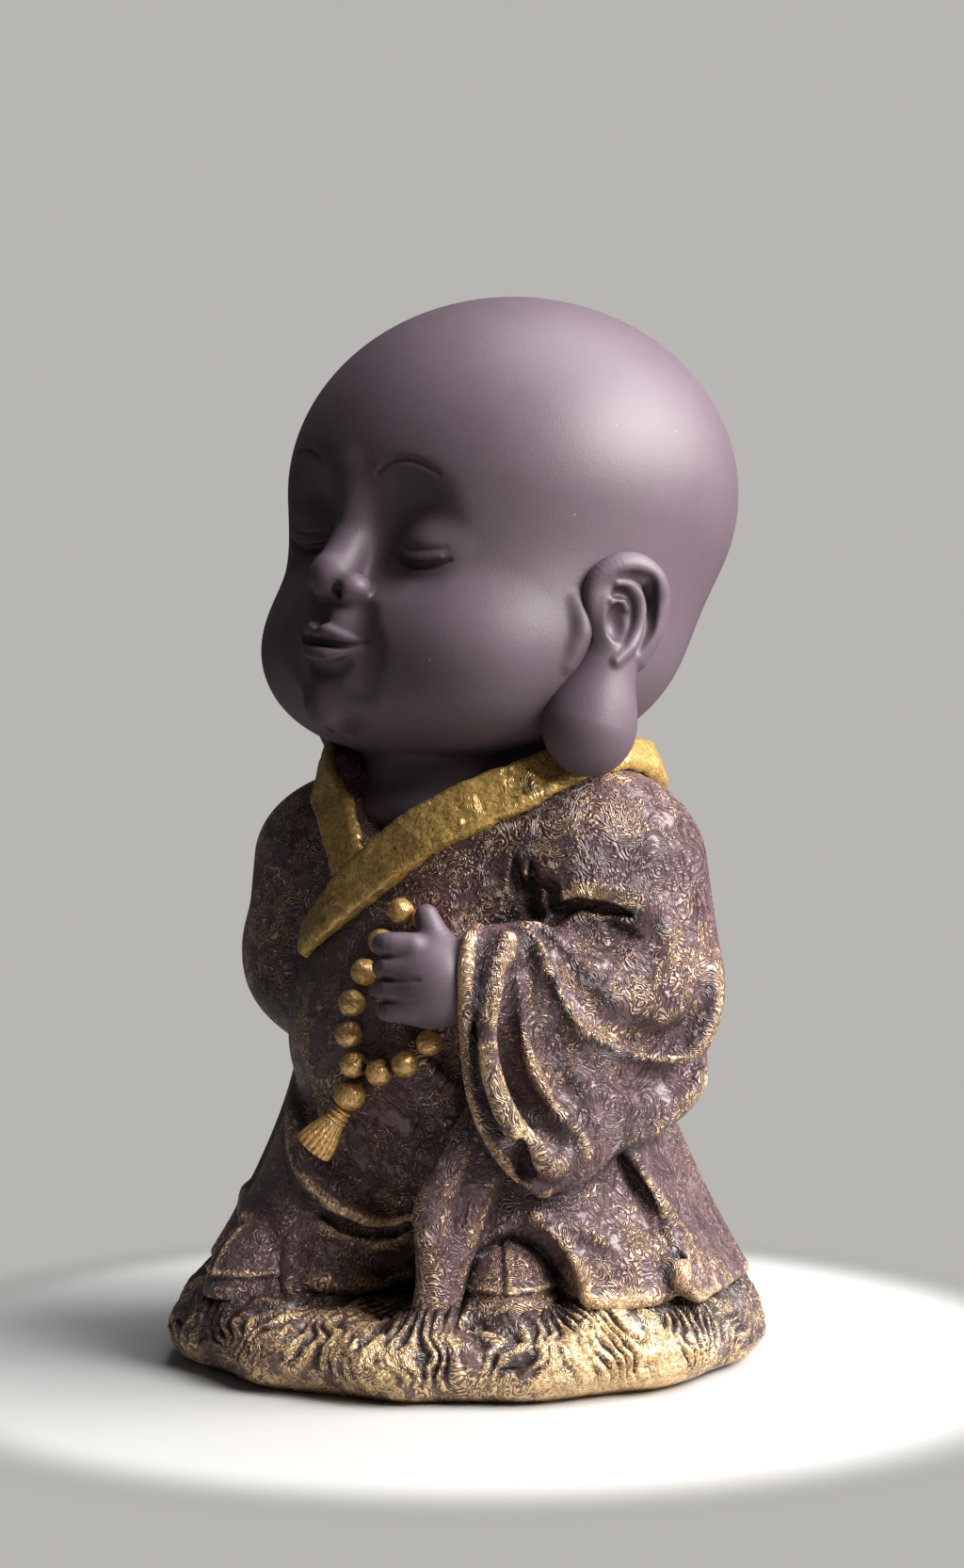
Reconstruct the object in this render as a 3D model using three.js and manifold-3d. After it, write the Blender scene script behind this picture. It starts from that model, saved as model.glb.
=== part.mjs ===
import * as THREE from "three";
import { mergeVertices } from "three/addons/utils/BufferGeometryUtils.js";
import Module from "manifold-3d";

// A clay monk figurine on a round straw mat. Millimetres, +Z up, the figure looks along -Y.
// Heights are above the mat's top, except those of the head, which are above its seat.

const wasm = await Module();
wasm.setup();

// Fits
const SEAM = 0.3; // joint between two pieces that are luted together

// Mat
const MAT_RADIUS = 48.8;
const MAT_HEIGHT = 12.5;
const MAT_STRETCH = 2.2; // the mat is a little longer from its left rear to its right front
const MAT_LOBES = 12;
const LOBE_DEPTH = 0.8;

// Robe
const BELLY_WIDTH = 55;
const BELLY_DEPTH = 54;
const BELLY_RISE = 41;
const BELLY_HEIGHT = 50;
const CHEST_WIDTH = 56;
const CHEST_DEPTH = 48;
const CHEST_RISE = 63;
const CHEST_HEIGHT = 42;
const SHOULDER_SPAN = 46;
const SHOULDER_RISE = 71;
const SHOULDER_RADIUS = 14.5;
const ELBOW_RISE = 50;
const ARM_RADIUS = 14.3;
const RIGHT_ARM_RADIUS = 12.4;
const LEG_RADIUS = 15.5;
const HEM_RADIUS = 13; // how far the lower robe spreads at each side of the feet
const COAT_TOP = 45;
const COAT_WAIST_RADIUS = 28.5;
const COAT_HEM_RADIUS = 45.5;
const COAT_THICKNESS = 4.5;
const COAT_LEFT_EDGE = 2; // degrees round from the figure's left side, through its back
const COAT_RIGHT_EDGE = 217;
const TAIL_SPREAD = 2.6;
const COAT_FOLDS = 9;
const FOLD_DEPTH = 0.9;

// Collar
const COLLAR_RADIUS = 23.4;
const COLLAR_BACK = 5; // how far the collar's middle lies behind the figure's
const COLLAR_RISE = 13; // of its highest place above the shoulders
const ROLL_RADIUS = 4.4;
const BAND_WIDTH = 7.6;
const BAND_THICKNESS = 1.5;
const BAND_OVERLAP = 0.6; // how much higher the outer band lies where it crosses the inner one

// Sleeves, hands and shoes
const CUFF_RADIUS = 8;
const MOUTH_RADIUS = 5.8;
const SLEEVE_DROP = 33; // from the wrist to the tip of the wide sleeve
const FIST_RISE = 53.5;
const FINGER_RADIUS = 2.35;
const WRIST_RADIUS = 4.6;
const LEFT_TOE = [29.5, -22.5];
const LEFT_TOE_OUT = 48; // degrees that the left foot is turned out
const TOE_MARGIN = 4.8; // from the right toe to the mat's edge
const RIGHT_TOE = [-14, TOE_MARGIN - MAT_RADIUS];
const RIGHT_TOE_OUT = 4;
const SHOE_LENGTH = 24;
const SHOE_WIDTH = 15.5;
const SHOE_HEIGHT = 12;
const SOLE_LEDGE = 0.8;

// Head
const HEAD_SEAT = SHOULDER_RISE + SHOULDER_RADIUS;
const CROWN_WIDTH = 75.4;
const CROWN_DEPTH = 75.8;
const CROWN_HEIGHT = 65.8;
const CROWN_RISE = 44.6;
const JOWL_WIDTH = 68;
const JOWL_DEPTH = 66.4;
const JOWL_HEIGHT = 41.4;
const JOWL_RISE = 19.2;
const NECK_RADIUS = 19.5;
const NECK_PLUG = 15; // length of the neck below the head's seat
const NOSE_RISE = 28.8;
const NOSE_RADIUS = 4.5;
const EYE_SPREAD = 12.6;
const EYE_RISE = 33.4;
const MOUTH_RISE = 18.9;
const MOUTH_WIDTH = 18;
const CHIN_RISE = 9.8;
const EAR_RISE = 25;
const EAR_TOP = 34;
const EAR_LENGTH = 35.5;
const LOBE_RADIUS = 7.4;
const RIGHT_EAR_BACK = 8; // the right ear is set further back

// String of beads
const BEAD_DIAMETER = 4.3;
const GURU_DIAMETER = 5.2;
const TASSEL_LENGTH = 6.4;
const TASSEL_RADIUS = 3.4;
const THREAD_DEPTH = 0.08;
const CAP_RADIUS = 1.9;
const CAP_HEIGHT = 1.4;

const CLAY = new THREE.MeshStandardMaterial({ color: 0x5f4f58, roughness: 0.72 });
const ROBE_GLAZE = new THREE.MeshStandardMaterial({ color: 0x594149, roughness: 0.6 });
const GOLD = new THREE.MeshStandardMaterial({ color: 0x9c7736, roughness: 0.42, metalness: 0.7 });
const STRAW = new THREE.MeshStandardMaterial({ color: 0x8a6a45, roughness: 0.6, metalness: 0.2 });

// Clay forms: functions of x, y and z, under 0 inside the clay and over 0 outside it.

function ball(middle, radii, turn = 0) {
  const [cx, cy, cz] = middle;
  const [rx, ry, rz] = Array.isArray(radii) ? radii : [radii, radii, radii];
  const cosine = Math.cos(turn);
  const sine = Math.sin(turn);
  return (x, y, z) => {
    const px = x - cx;
    const py = y - cy;
    const u = cosine * px + sine * py;
    const v = cosine * py - sine * px;
    const w = z - cz;
    const near = Math.hypot(u / rx, v / ry, w / rz);
    const steep = Math.hypot(u / (rx * rx), v / (ry * ry), w / (rz * rz));
    return (near * (near - 1)) / Math.max(steep, 1e-9);
  };
}

function limb(from, to, fromRadius, toRadius = fromRadius) {
  const [ax, ay, az] = from;
  const [bx, by, bz] = [to[0] - ax, to[1] - ay, to[2] - az];
  const length2 = bx * bx + by * by + bz * bz;
  return (x, y, z) => {
    const px = x - ax;
    const py = y - ay;
    const pz = z - az;
    const t = Math.min(1, Math.max(0, (px * bx + py * by + pz * bz) / length2));
    return Math.hypot(px - t * bx, py - t * by, pz - t * bz) - fromRadius - (toRadius - fromRadius) * t;
  };
}

// A coil of clay rolled along a smooth curve, thick and thin as its radii say.
function coil(points, radii) {
  const curve = new THREE.CatmullRomCurve3(points.map((p) => new THREE.Vector3(...p)));
  const steps = (points.length - 1) * 3;
  const stretches = [];
  const radiusAt = (t) => {
    const place = t * (radii.length - 1);
    const before = Math.min(Math.floor(place), radii.length - 2);
    return THREE.MathUtils.lerp(radii[before], radii[before + 1], place - before);
  };
  for (let i = 0; i < steps; i += 1) {
    const [a, b] = [i / steps, (i + 1) / steps];
    stretches.push(limb(curve.getPoint(a).toArray(), curve.getPoint(b).toArray(), radiusAt(a), radiusAt(b)));
  }
  return (x, y, z) => Math.min(...stretches.map((stretch) => stretch(x, y, z)));
}

function blend(a, b, soft) {
  const h = Math.max(soft - Math.abs(a - b), 0) / soft;
  return Math.min(a, b) - (h * h * soft) / 4;
}

const join = (soft, ...forms) => (x, y, z) =>
  forms.slice(1).reduce((value, form) => blend(value, form(x, y, z), soft), forms[0](x, y, z));

const carve = (soft, form, ...tools) => (x, y, z) =>
  tools.reduce((value, tool) => -blend(-value, tool(x, y, z), soft), form(x, y, z));

const onBothSides = (form) => (x, y, z) => form(Math.abs(x), y, z);
const mirrored = (form) => (x, y, z) => form(-x, y, z);
const raised = (form, rise) => (x, y, z) => form(x, y, z - rise);

// Where a line from a point meets a form, moved on by a lift against the line.
function meet(form, from, along, lift = 0) {
  const point = new THREE.Vector3(...from);
  const way = new THREE.Vector3(...along).normalize();
  for (let i = 0; i < 120; i += 1) {
    point.addScaledVector(way, form(point.x, point.y, point.z) * 0.7);
  }
  return point.addScaledVector(way, -lift).toArray();
}

function slope(form, point) {
  const [x, y, z] = point;
  const e = 0.02;
  const out = new THREE.Vector3(
    form(x + e, y, z) - form(x - e, y, z),
    form(x, y + e, z) - form(x, y - e, z),
    form(x, y, z + e) - form(x, y, z - e),
  );
  return out.divideScalar(2 * e);
}

// Solids from forms

function geometryOf(positions, indices) {
  const geometry = new THREE.BufferGeometry();
  geometry.setAttribute("position", new THREE.Float32BufferAttribute(positions, 3));
  geometry.setIndex(indices);
  return geometry;
}

// The closed skin of a form inside a box: one vertex in each cell that the surface passes through.
function skin(form, lowest, highest, step) {
  const low = lowest.map((value) => value - step);
  const counts = low.map((value, i) => Math.ceil((highest[i] - value) / step) + 2);
  const [nx, ny, nz] = counts;
  const at = (i, j, k) => i + nx * (j + ny * k);
  const values = new Float64Array(nx * ny * nz);
  for (let k = 0; k < nz; k += 1)
    for (let j = 0; j < ny; j += 1)
      for (let i = 0; i < nx; i += 1)
        values[at(i, j, k)] = form(low[0] + i * step, low[1] + j * step, low[2] + k * step);
  const strides = [1, nx, nx * ny];
  fillCheckers(values, counts, strides);
  const positions = [];
  const vertexOf = new Map();
  for (let k = 0; k < nz - 1; k += 1)
    for (let j = 0; j < ny - 1; j += 1)
      for (let i = 0; i < nx - 1; i += 1) {
        const crossing = cellCrossing(values, at(i, j, k), strides);
        if (!crossing) continue;
        const cell = [i, j, k].map((n, axis) => low[axis] + n * step);
        const guess = crossing.map((share, axis) => cell[axis] + share * step);
        vertexOf.set(at(i, j, k), positions.length / 3);
        positions.push(...settle(form, guess, cell, step));
      }
  return geometryOf(positions, skinFaces(values, counts, strides, vertexOf, positions));
}

// Fills one corner of each grid face whose corners are in and out like a chequerboard.
function fillCheckers(values, counts, strides) {
  let again = true;
  while (again) {
    again = false;
    for (let axis = 0; axis < 3; axis += 1) {
      const [u, v] = [strides[(axis + 1) % 3], strides[(axis + 2) % 3]];
      for (let n = 0; n + u + v < values.length; n += 1) {
        const [a, b, c, d] = [values[n] < 0, values[n + u] < 0, values[n + u + v] < 0, values[n + v] < 0];
        if (a === c && b === d && a !== b) {
          const out = a ? n + u : n;
          values[out] = -0.05;
          again = true;
        }
      }
    }
  }
}

function cellCrossing(values, first, strides) {
  const sum = [0, 0, 0];
  let crossings = 0;
  for (let axis = 0; axis < 3; axis += 1) {
    const [u, v] = [(axis + 1) % 3, (axis + 2) % 3];
    for (let corner = 0; corner < 4; corner += 1) {
      const [du, dv] = [corner & 1, corner >> 1];
      const from = first + du * strides[u] + dv * strides[v];
      const [a, b] = [values[from], values[from + strides[axis]]];
      if (a < 0 === b < 0) continue;
      crossings += 1;
      sum[axis] += a / (a - b);
      sum[u] += du;
      sum[v] += dv;
    }
  }
  return crossings ? sum.map((total) => total / crossings) : null;
}

// Moves a vertex onto the surface without leaving its cell.
function settle(form, guess, cell, step) {
  let point = guess;
  for (let turn = 0; turn < 3; turn += 1) {
    const out = slope(form, point);
    const share = form(...point) / Math.max(out.lengthSq(), 0.1);
    point = point.map((value, axis) =>
      THREE.MathUtils.clamp(
        value - share * out.getComponent(axis),
        cell[axis] + 0.06 * step,
        cell[axis] + 0.94 * step,
      ),
    );
  }
  return point;
}

function skinFaces(values, counts, strides, vertexOf, positions) {
  const indices = [];
  const gap2 = (a, b) =>
    [0, 1, 2].reduce((sum, n) => sum + (positions[a * 3 + n] - positions[b * 3 + n]) ** 2, 0);
  for (let k = 1; k < counts[2] - 1; k += 1)
    for (let j = 1; j < counts[1] - 1; j += 1)
      for (let i = 1; i < counts[0] - 1; i += 1) {
        const n = i * strides[0] + j * strides[1] + k * strides[2];
        for (let axis = 0; axis < 3; axis += 1) {
          const inside = values[n] < 0;
          if (inside === values[n + strides[axis]] < 0) continue;
          const [u, v] = [strides[(axis + 1) % 3], strides[(axis + 2) % 3]];
          const ring = [n - u - v, n - v, n, n - u].map((cell) => vertexOf.get(cell));
          const [a, b, c, d] = inside ? ring : ring.reverse();
          if (gap2(a, c) < gap2(b, d)) indices.push(a, b, c, a, c, d);
          else indices.push(a, b, d, b, c, d);
        }
      }
  return indices;
}

// The closed shell of a form as seen from a middle point, with most facets towards the front.
function husk(form, middle, rows, columns, front = 0, frontRow = 0.6, rowFocus = 0) {
  const positions = [];
  const indices = [];
  const reach = (direction) => {
    let [near, far] = [0, 90];
    for (let i = 0; i < 40; i += 1) {
      const half = (near + far) / 2;
      const inside = form(...middle.map((value, axis) => value + direction[axis] * half)) < 0;
      if (inside) near = half;
      else far = half;
    }
    return middle.map((value, axis) => value + direction[axis] * near);
  };
  const wave = (v) => Math.sin(2 * Math.PI * (v - frontRow)) + Math.sin(2 * Math.PI * frontRow);
  positions.push(...reach([0, 0, 1]));
  for (let row = 1; row < rows; row += 1) {
    const v = row / rows;
    const polar = Math.PI * (v - (rowFocus * wave(v)) / (2 * Math.PI));
    for (let column = 0; column < columns; column += 1) {
      const u = (2 * Math.PI * column) / columns;
      const turn = u - front * Math.sin(u) - Math.PI / 2;
      const level = Math.sin(polar);
      positions.push(...reach([level * Math.cos(turn), level * Math.sin(turn), Math.cos(polar)]));
    }
  }
  positions.push(...reach([0, 0, -1]));
  const last = positions.length / 3 - 1;
  const at = (row, column) => 1 + (row - 1) * columns + (column % columns);
  for (let column = 0; column < columns; column += 1) {
    indices.push(0, at(1, column), at(1, column + 1));
    indices.push(last, at(rows - 1, column + 1), at(rows - 1, column));
    for (let row = 1; row < rows - 1; row += 1) {
      const [a, b] = [at(row, column), at(row, column + 1)];
      const [c, d] = [at(row + 1, column + 1), at(row + 1, column)];
      indices.push(a, d, c, a, c, b);
    }
  }
  return geometryOf(positions, indices);
}

// A strap of clay that lies on a form along a route, with rounded edges.
function strap(form, route, width, thickness, lift, steps) {
  const curve = new THREE.CatmullRomCurve3(route.map((p) => new THREE.Vector3(...p)));
  const section = [
    [-0.5, 0],
    [0.5, 0],
    [0.5, 0.6],
    [0.36, 1],
    [-0.36, 1],
    [-0.5, 0.6],
  ];
  const positions = [];
  for (let i = 0; i <= steps; i += 1) {
    const t = i / steps;
    const middle = onto(form, curve.getPoint(t));
    const out = slope(form, middle.toArray()).normalize();
    const side = new THREE.Vector3().crossVectors(curve.getTangent(t), out).normalize();
    for (const [across, level] of section) {
      const foot = onto(form, middle.clone().addScaledVector(side, across * width));
      const up = slope(form, foot.toArray()).normalize();
      positions.push(...foot.addScaledVector(up, lift + level * thickness).toArray());
    }
  }
  return closedLoft(positions, section.length, steps);
}

function onto(form, point) {
  const place = point.clone();
  for (let turn = 0; turn < 12; turn += 1) {
    const out = slope(form, place.toArray());
    place.addScaledVector(out, (-0.8 * form(place.x, place.y, place.z)) / Math.max(out.lengthSq(), 0.2));
  }
  return place;
}

// Skins rings of equal length into a closed body with flat ends.
function closedLoft(positions, ring, steps) {
  const indices = [];
  for (let i = 0; i < steps; i += 1)
    for (let n = 0; n < ring; n += 1) {
      const next = (n + 1) % ring;
      const [a, b] = [i * ring + n, i * ring + next];
      const [c, d] = [a + ring, b + ring];
      indices.push(a, d, b, a, c, d);
    }
  for (let n = 1; n < ring - 1; n += 1) {
    indices.push(0, n, n + 1);
    indices.push(steps * ring, steps * ring + n + 1, steps * ring + n);
  }
  return geometryOf(positions, indices);
}

function bare(geometry) {
  const copy = geometry.clone();
  copy.deleteAttribute("normal");
  copy.deleteAttribute("uv");
  return mergeVertices(copy, 1e-4);
}

function solidOf(geometry) {
  const merged = bare(geometry);
  return new wasm.Manifold(
    new wasm.Mesh({
      numProp: 3,
      vertProperties: new Float32Array(merged.attributes.position.array),
      triVerts: new Uint32Array(merged.index.array),
    }),
  );
}

// A copy that is thicker by the seam on every side.
function grown(geometry, by = SEAM * 1.25) {
  const copy = bare(geometry);
  copy.computeVertexNormals();
  const place = copy.attributes.position;
  const out = copy.attributes.normal;
  for (let i = 0; i < place.count; i += 1) {
    place.setXYZ(
      i,
      place.getX(i) + by * out.getX(i),
      place.getY(i) + by * out.getY(i),
      place.getZ(i) + by * out.getZ(i),
    );
  }
  return copy;
}

function box(low, high) {
  const size = high.map((value, axis) => value - low[axis]);
  const middle = high.map((value, axis) => (value + low[axis]) / 2);
  return new THREE.BoxGeometry(...size).translate(...middle);
}

// Cuts tools out of a solid and drops the crumbs that the cut leaves.
function cut(geometry, ...tools) {
  const left = tools.reduce((solid, tool) => solid.subtract(solidOf(tool)), solidOf(geometry));
  return largestBody(left.getMesh());
}

function largestBody(mesh) {
  const positions = [];
  for (let i = 0; i < mesh.vertProperties.length; i += mesh.numProp) {
    positions.push(...mesh.vertProperties.subarray(i, i + 3));
  }
  const whole = mergeVertices(geometryOf(positions, Array.from(mesh.triVerts)), 1e-5);
  const index = Array.from(whole.index.array);
  const root = Array.from({ length: whole.attributes.position.count }, (_, i) => i);
  const find = (i) => {
    while (root[i] !== i) {
      root[i] = root[root[i]];
      i = root[i];
    }
    return i;
  };
  for (let i = 0; i < index.length; i += 3) {
    root[find(index[i])] = find(index[i + 1]);
    root[find(index[i + 2])] = find(index[i + 1]);
  }
  const sizes = new Map();
  for (const i of index) sizes.set(find(i), (sizes.get(find(i)) || 0) + 1);
  const keep = [...sizes.entries()].sort((a, b) => b[1] - a[1])[0][0];
  const kept = [];
  for (let i = 0; i < index.length; i += 3) {
    if (find(index[i]) === keep) kept.push(index[i], index[i + 1], index[i + 2]);
  }
  return geometryOf(whole.attributes.position.array, kept);
}

// Forms of the robe

const belly = ball(
  [0, -3.5, BELLY_RISE],
  [BELLY_WIDTH / 2, BELLY_DEPTH / 2, BELLY_HEIGHT / 2],
);
const chest = ball([0, 2.5, CHEST_RISE], [CHEST_WIDTH / 2, CHEST_DEPTH / 2, CHEST_HEIGHT / 2]);
const shoulders = coil(
  [
    [-SHOULDER_SPAN / 2, 3, SHOULDER_RISE - 1],
    [0, 8, SHOULDER_RISE],
    [SHOULDER_SPAN / 2, 3, SHOULDER_RISE - 1],
  ],
  [SHOULDER_RADIUS, SHOULDER_RADIUS],
);
const SIDE = BELLY_WIDTH / 2;
const FRONT = -BELLY_DEPTH / 2;
const leftArm = limb([SIDE + 1, 6, SHOULDER_RISE - 2.5], [SIDE + 3.5, 7.5, ELBOW_RISE], ARM_RADIUS);
const rightArm = limb([-SIDE - 3, -4, SHOULDER_RISE - 3], [-SIDE - 5.5, -4, ELBOW_RISE], RIGHT_ARM_RADIUS);
// A point round the neck: degrees from its back, and a share of the collar's rise.
function roundNeck(turn, share, radius) {
  const angle = THREE.MathUtils.degToRad(turn);
  const [x, y] = [radius * Math.sin(angle), COLLAR_BACK + radius * Math.cos(angle)];
  return [x, y, SHOULDER_RISE + share * COLLAR_RISE];
}
const collarRoll = coil(
  [
    [-173, -0.23],
    [-155, 0.46],
    [-140, 0.88],
    [-100, 1],
    [-50, 0.92],
    [0, 0.85],
    [50, 0.92],
    [95, 0.96],
    [125, 0.73],
    [157, 0.23],
    [187, -0.38],
  ].map(([turn, share]) => roundNeck(turn, share, COLLAR_RADIUS)),
  [ROLL_RADIUS, ROLL_RADIUS],
);
const robeForm = join(4, join(8, belly, chest, shoulders, leftArm, rightArm), collarRoll);

const underRobeForm = join(
  9,
  limb([6, -3, 28], [LEFT_TOE[0] - 10.5, LEFT_TOE[1] + 16.5, 8], 20, LEG_RADIUS),
  limb([-5, -6, 28], [RIGHT_TOE[0] + 2, RIGHT_TOE[1] + 24, 8], 20, LEG_RADIUS - 0.5),
  limb([8, 2, 26], [29, 1, 5], 18, HEM_RADIUS),
  limb([-8, 0, 26], [-27, -10, 5], 18, HEM_RADIUS),
);

// The coat is a sheet that flares from the waist to the hem and is open at the front.
function coatGeometry() {
  const columns = 26;
  const rows = 5;
  const from = THREE.MathUtils.degToRad(COAT_LEFT_EDGE);
  const to = THREE.MathUtils.degToRad(COAT_RIGHT_EDGE);
  const positions = [];
  const point = (turn, fall, depth) => {
    const folds = FOLD_DEPTH * fall * Math.cos(COAT_FOLDS * turn);
    const tip = TAIL_SPREAD * fall ** 3 * Math.exp(-(Math.min(turn - from, to - turn) ** 2) * 20);
    const flare = (COAT_HEM_RADIUS - COAT_WAIST_RADIUS) * fall ** 1.5;
    const radius = COAT_WAIST_RADIUS + flare + folds + tip - depth;
    return [radius * Math.cos(turn), 1 + radius * Math.sin(turn), COAT_TOP * (1 - fall)];
  };
  for (let column = 0; column <= columns; column += 1) {
    const turn = THREE.MathUtils.lerp(from, to, column / columns);
    for (let row = 0; row <= rows; row += 1) positions.push(...point(turn, row / rows, COAT_THICKNESS));
    for (let row = rows; row >= 0; row -= 1) positions.push(...point(turn, row / rows, 0));
  }
  return closedLoft(positions, 2 * (rows + 1), columns);
}

// The hanging end falls from the belly to the mat beside the left foot.
const drapeTop = [SIDE - 7.5, FRONT + 4.5];
const drapeFoot = [LEFT_TOE[0] - 11, LEFT_TOE[1] - 6.5];
const drapeForm = join(
  2,
  coil(
    [
      [...drapeTop, 31],
      [drapeTop[0] + 0.5, drapeTop[1] - 2.5, 22],
      [drapeFoot[0] + 1, drapeFoot[1] + 1, 12],
      [...drapeFoot, 1],
    ],
    [2.4, 3.4, 3.6, 3.2],
  ),
  coil(
    [
      [drapeTop[0] + 3.5, drapeTop[1] + 2.5, 27],
      [drapeTop[0] + 4.5, drapeTop[1], 18],
      [drapeFoot[0] + 4.5, drapeFoot[1] + 4, 8],
    ],
    [1.8, 2.4, 1.6],
  ),
);

// Sleeves

const wrist = [SIDE - 2.5, FRONT + 8.5, FIST_RISE - 0.5];
const tip = [SIDE + 4, FRONT + 15.5, FIST_RISE - SLEEVE_DROP + 5.5];
const leftSleeveForm = carve(
  1.5,
  join(
    6,
    limb([SIDE + 4.5, 8, ELBOW_RISE], wrist, 12.5, CUFF_RADIUS),
    limb([SIDE - 2, FRONT + 10, FIST_RISE - 5], tip, 6.5, 5.5),
    limb(tip, [SIDE + 4, 9.5, ELBOW_RISE - 16], 5.8, 8),
    ball([SIDE + 3, -3, ELBOW_RISE - 8], [9, 14, 12]),
  ),
  limb([wrist[0] - 10.5, wrist[1] - 10.5, wrist[2]], wrist, MOUTH_RADIUS),
);
const rightSleeveForm = carve(
  1.5,
  join(
    6,
    limb([-SIDE - 5.5, -5, ELBOW_RISE + 3], [-SIDE - 6, 2, ELBOW_RISE - 5], 12, 10),
    limb([-SIDE - 6, 0, ELBOW_RISE - 4], [-SIDE - 6.5, 5, ELBOW_RISE - 8], 10.5, 8.5),
  ),
  limb([-SIDE - 7.5, 8.5, ELBOW_RISE - 22], [-SIDE - 6.7, 5, ELBOW_RISE - 14], MOUTH_RADIUS),
);

// Hands

const leftPalm = [SIDE - 8, FRONT, FIST_RISE - 0.5];
const rightPalm = [-SIDE - 7.5, 7, ELBOW_RISE - 21];

function leftFist() {
  const r = FINGER_RADIUS;
  const fingers = [0, 1, 2, 3].map((n) => {
    const rise = FIST_RISE + 4.6 - n * 1.57 * r;
    const bend = SIDE - 14.5 + n * 0.7;
    return coil(
      [
        [SIDE - 8, FRONT, rise],
        [SIDE - 12, FRONT - 5.4, rise],
        [bend, FRONT - 6, rise - 0.3],
        [bend + 1.5, FRONT - 2, rise - 0.5],
      ],
      [r * 1.05, r, r * (1 - n * 0.12)],
    );
  });
  const palm = join(
    3,
    ball(leftPalm, [5.2, 7, 8], -0.75),
    limb([SIDE - 7.5, FRONT + 1, FIST_RISE - 0.5], [SIDE - 1.5, FRONT + 8, FIST_RISE - 0.5], WRIST_RADIUS),
  );
  const thumb = coil(
    [
      [SIDE - 6.5, FRONT, FIST_RISE + 3],
      [SIDE - 7, FRONT - 2.5, FIST_RISE + 7.5],
      [SIDE - 8.5, FRONT - 3.5, FIST_RISE + 10.8],
    ],
    [3.4, 2.6, 2],
  );
  return join(1.6, palm, join(0.8, ...fingers), thumb);
}

function rightFist() {
  const r = FINGER_RADIUS;
  const [x, y, z] = rightPalm;
  const fingers = [0, 1, 2, 3].map((n) => {
    const along = y - 4.8 + n * 1.4 * r;
    return limb([x - 1.2, along, z - 1.5], [x - 1, along + 0.2, z - 4.5], r);
  });
  return join(
    1.4,
    ball(rightPalm, [4.6, 6.4, 5.4]),
    limb([x, y + 0.5, z], [x + 1, y - 2.5, z + 11], WRIST_RADIUS),
    join(0.8, ...fingers),
    limb([x - 2, y - 4.4, z + 2], [x - 3, y - 4.6, z - 2.5], r),
  );
}

// A cloth shoe with a toe cap, a seam up the middle and a ledge along the sole.
function shoeForm(toe, heading) {
  const way = [Math.sin(heading), -Math.cos(heading)];
  const middle = [toe[0] - (way[0] * SHOE_LENGTH) / 2, toe[1] - (way[1] * SHOE_LENGTH) / 2];
  const upper = ball([...middle, 1.2], [SHOE_WIDTH / 2, SHOE_LENGTH / 2, SHOE_HEIGHT - 1.2], heading);
  const sole = ball(
    [...middle, 0.8],
    [SHOE_WIDTH / 2 + SOLE_LEDGE, SHOE_LENGTH / 2 + SOLE_LEDGE, 3.4],
    heading,
  );
  return join(1, upper, sole);
}

// Head, in heights above its seat

const skull = join(
  12,
  ball([0, 10.8, CROWN_RISE], [CROWN_WIDTH / 2, CROWN_DEPTH / 2, CROWN_HEIGHT / 2]),
  ball([0, 1, JOWL_RISE], [JOWL_WIDTH / 2, JOWL_DEPTH / 2, JOWL_HEIGHT / 2]),
);
const cheeks = onBothSides(ball([14.5, -13, 17.5], [13.2, 13.4, 12.2]));
const plump = join(6, skull, cheeks);

// A point on the face, out from the surface.
const onFace = (x, rise, out = 0) => meet(plump, [x, -70, rise], [0, 1, 0], out);

function headForm() {
  const hollows = onBothSides(ball(onFace(EYE_SPREAD, EYE_RISE + 2.6, 3.6), [8.5, 5.6, 6.4]));
  const lids = onBothSides(ball(onFace(EYE_SPREAD, EYE_RISE, -7.4), [8, 7.6, 6.2]));
  const muzzle = ball(onFace(0, MOUTH_RISE, -5.2), [8, 8, 7.6]);
  const bridge = coil(
    [onFace(0, NOSE_RISE + 1.5, 1.4), onFace(0, NOSE_RISE + 6, -0.8), onFace(0, NOSE_RISE + 12, -1.6)],
    [NOSE_RADIUS * 0.7, 2.8, 1.6],
  );
  const nose = join(
    1.8,
    ball(onFace(0, NOSE_RISE, 3), [NOSE_RADIUS, NOSE_RADIUS, NOSE_RADIUS * 0.92]),
    onBothSides(ball(onFace(NOSE_RADIUS + 0.2, NOSE_RISE - 1.4, 1), [2.9, 3.2, 2.8])),
    bridge,
  );
  const half = MOUTH_WIDTH / 2;
  const upperLip = onBothSides(
    coil(
      [
        onFace(0.6, MOUTH_RISE + 1.2, 3),
        onFace(half * 0.5, MOUTH_RISE + 1.2, 1.8),
        onFace(half, MOUTH_RISE + 0.4, -0.4),
      ],
      [1.5, 1.3, 0.7],
    ),
  );
  const lowerLip = onBothSides(
    coil(
      [
        onFace(0, MOUTH_RISE - 2.2, 2.6),
        onFace(half * 0.45, MOUTH_RISE - 1.9, 1.6),
        onFace(half * 0.85, MOUTH_RISE - 0.8, 0),
      ],
      [1.8, 1.5, 0.7],
    ),
  );
  const chin = ball(onFace(0, CHIN_RISE, -2), [5.6, 5, 4.6]);
  const neck = join(
    3,
    ball([0, 3, -1], [NECK_RADIUS, NECK_RADIUS, 9]),
    ball([0, 1.5, -NECK_PLUG / 2], [NECK_RADIUS + 1.5, NECK_RADIUS + 1, NECK_PLUG / 2]),
  );
  let face = carve(6, plump, hollows);
  face = join(2.5, face, lids);
  face = join(3, face, muzzle, chin);
  face = join(2, face, nose);
  face = join(1.2, face, upperLip, lowerLip);
  return join(2.5, face, neck);
}

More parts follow.
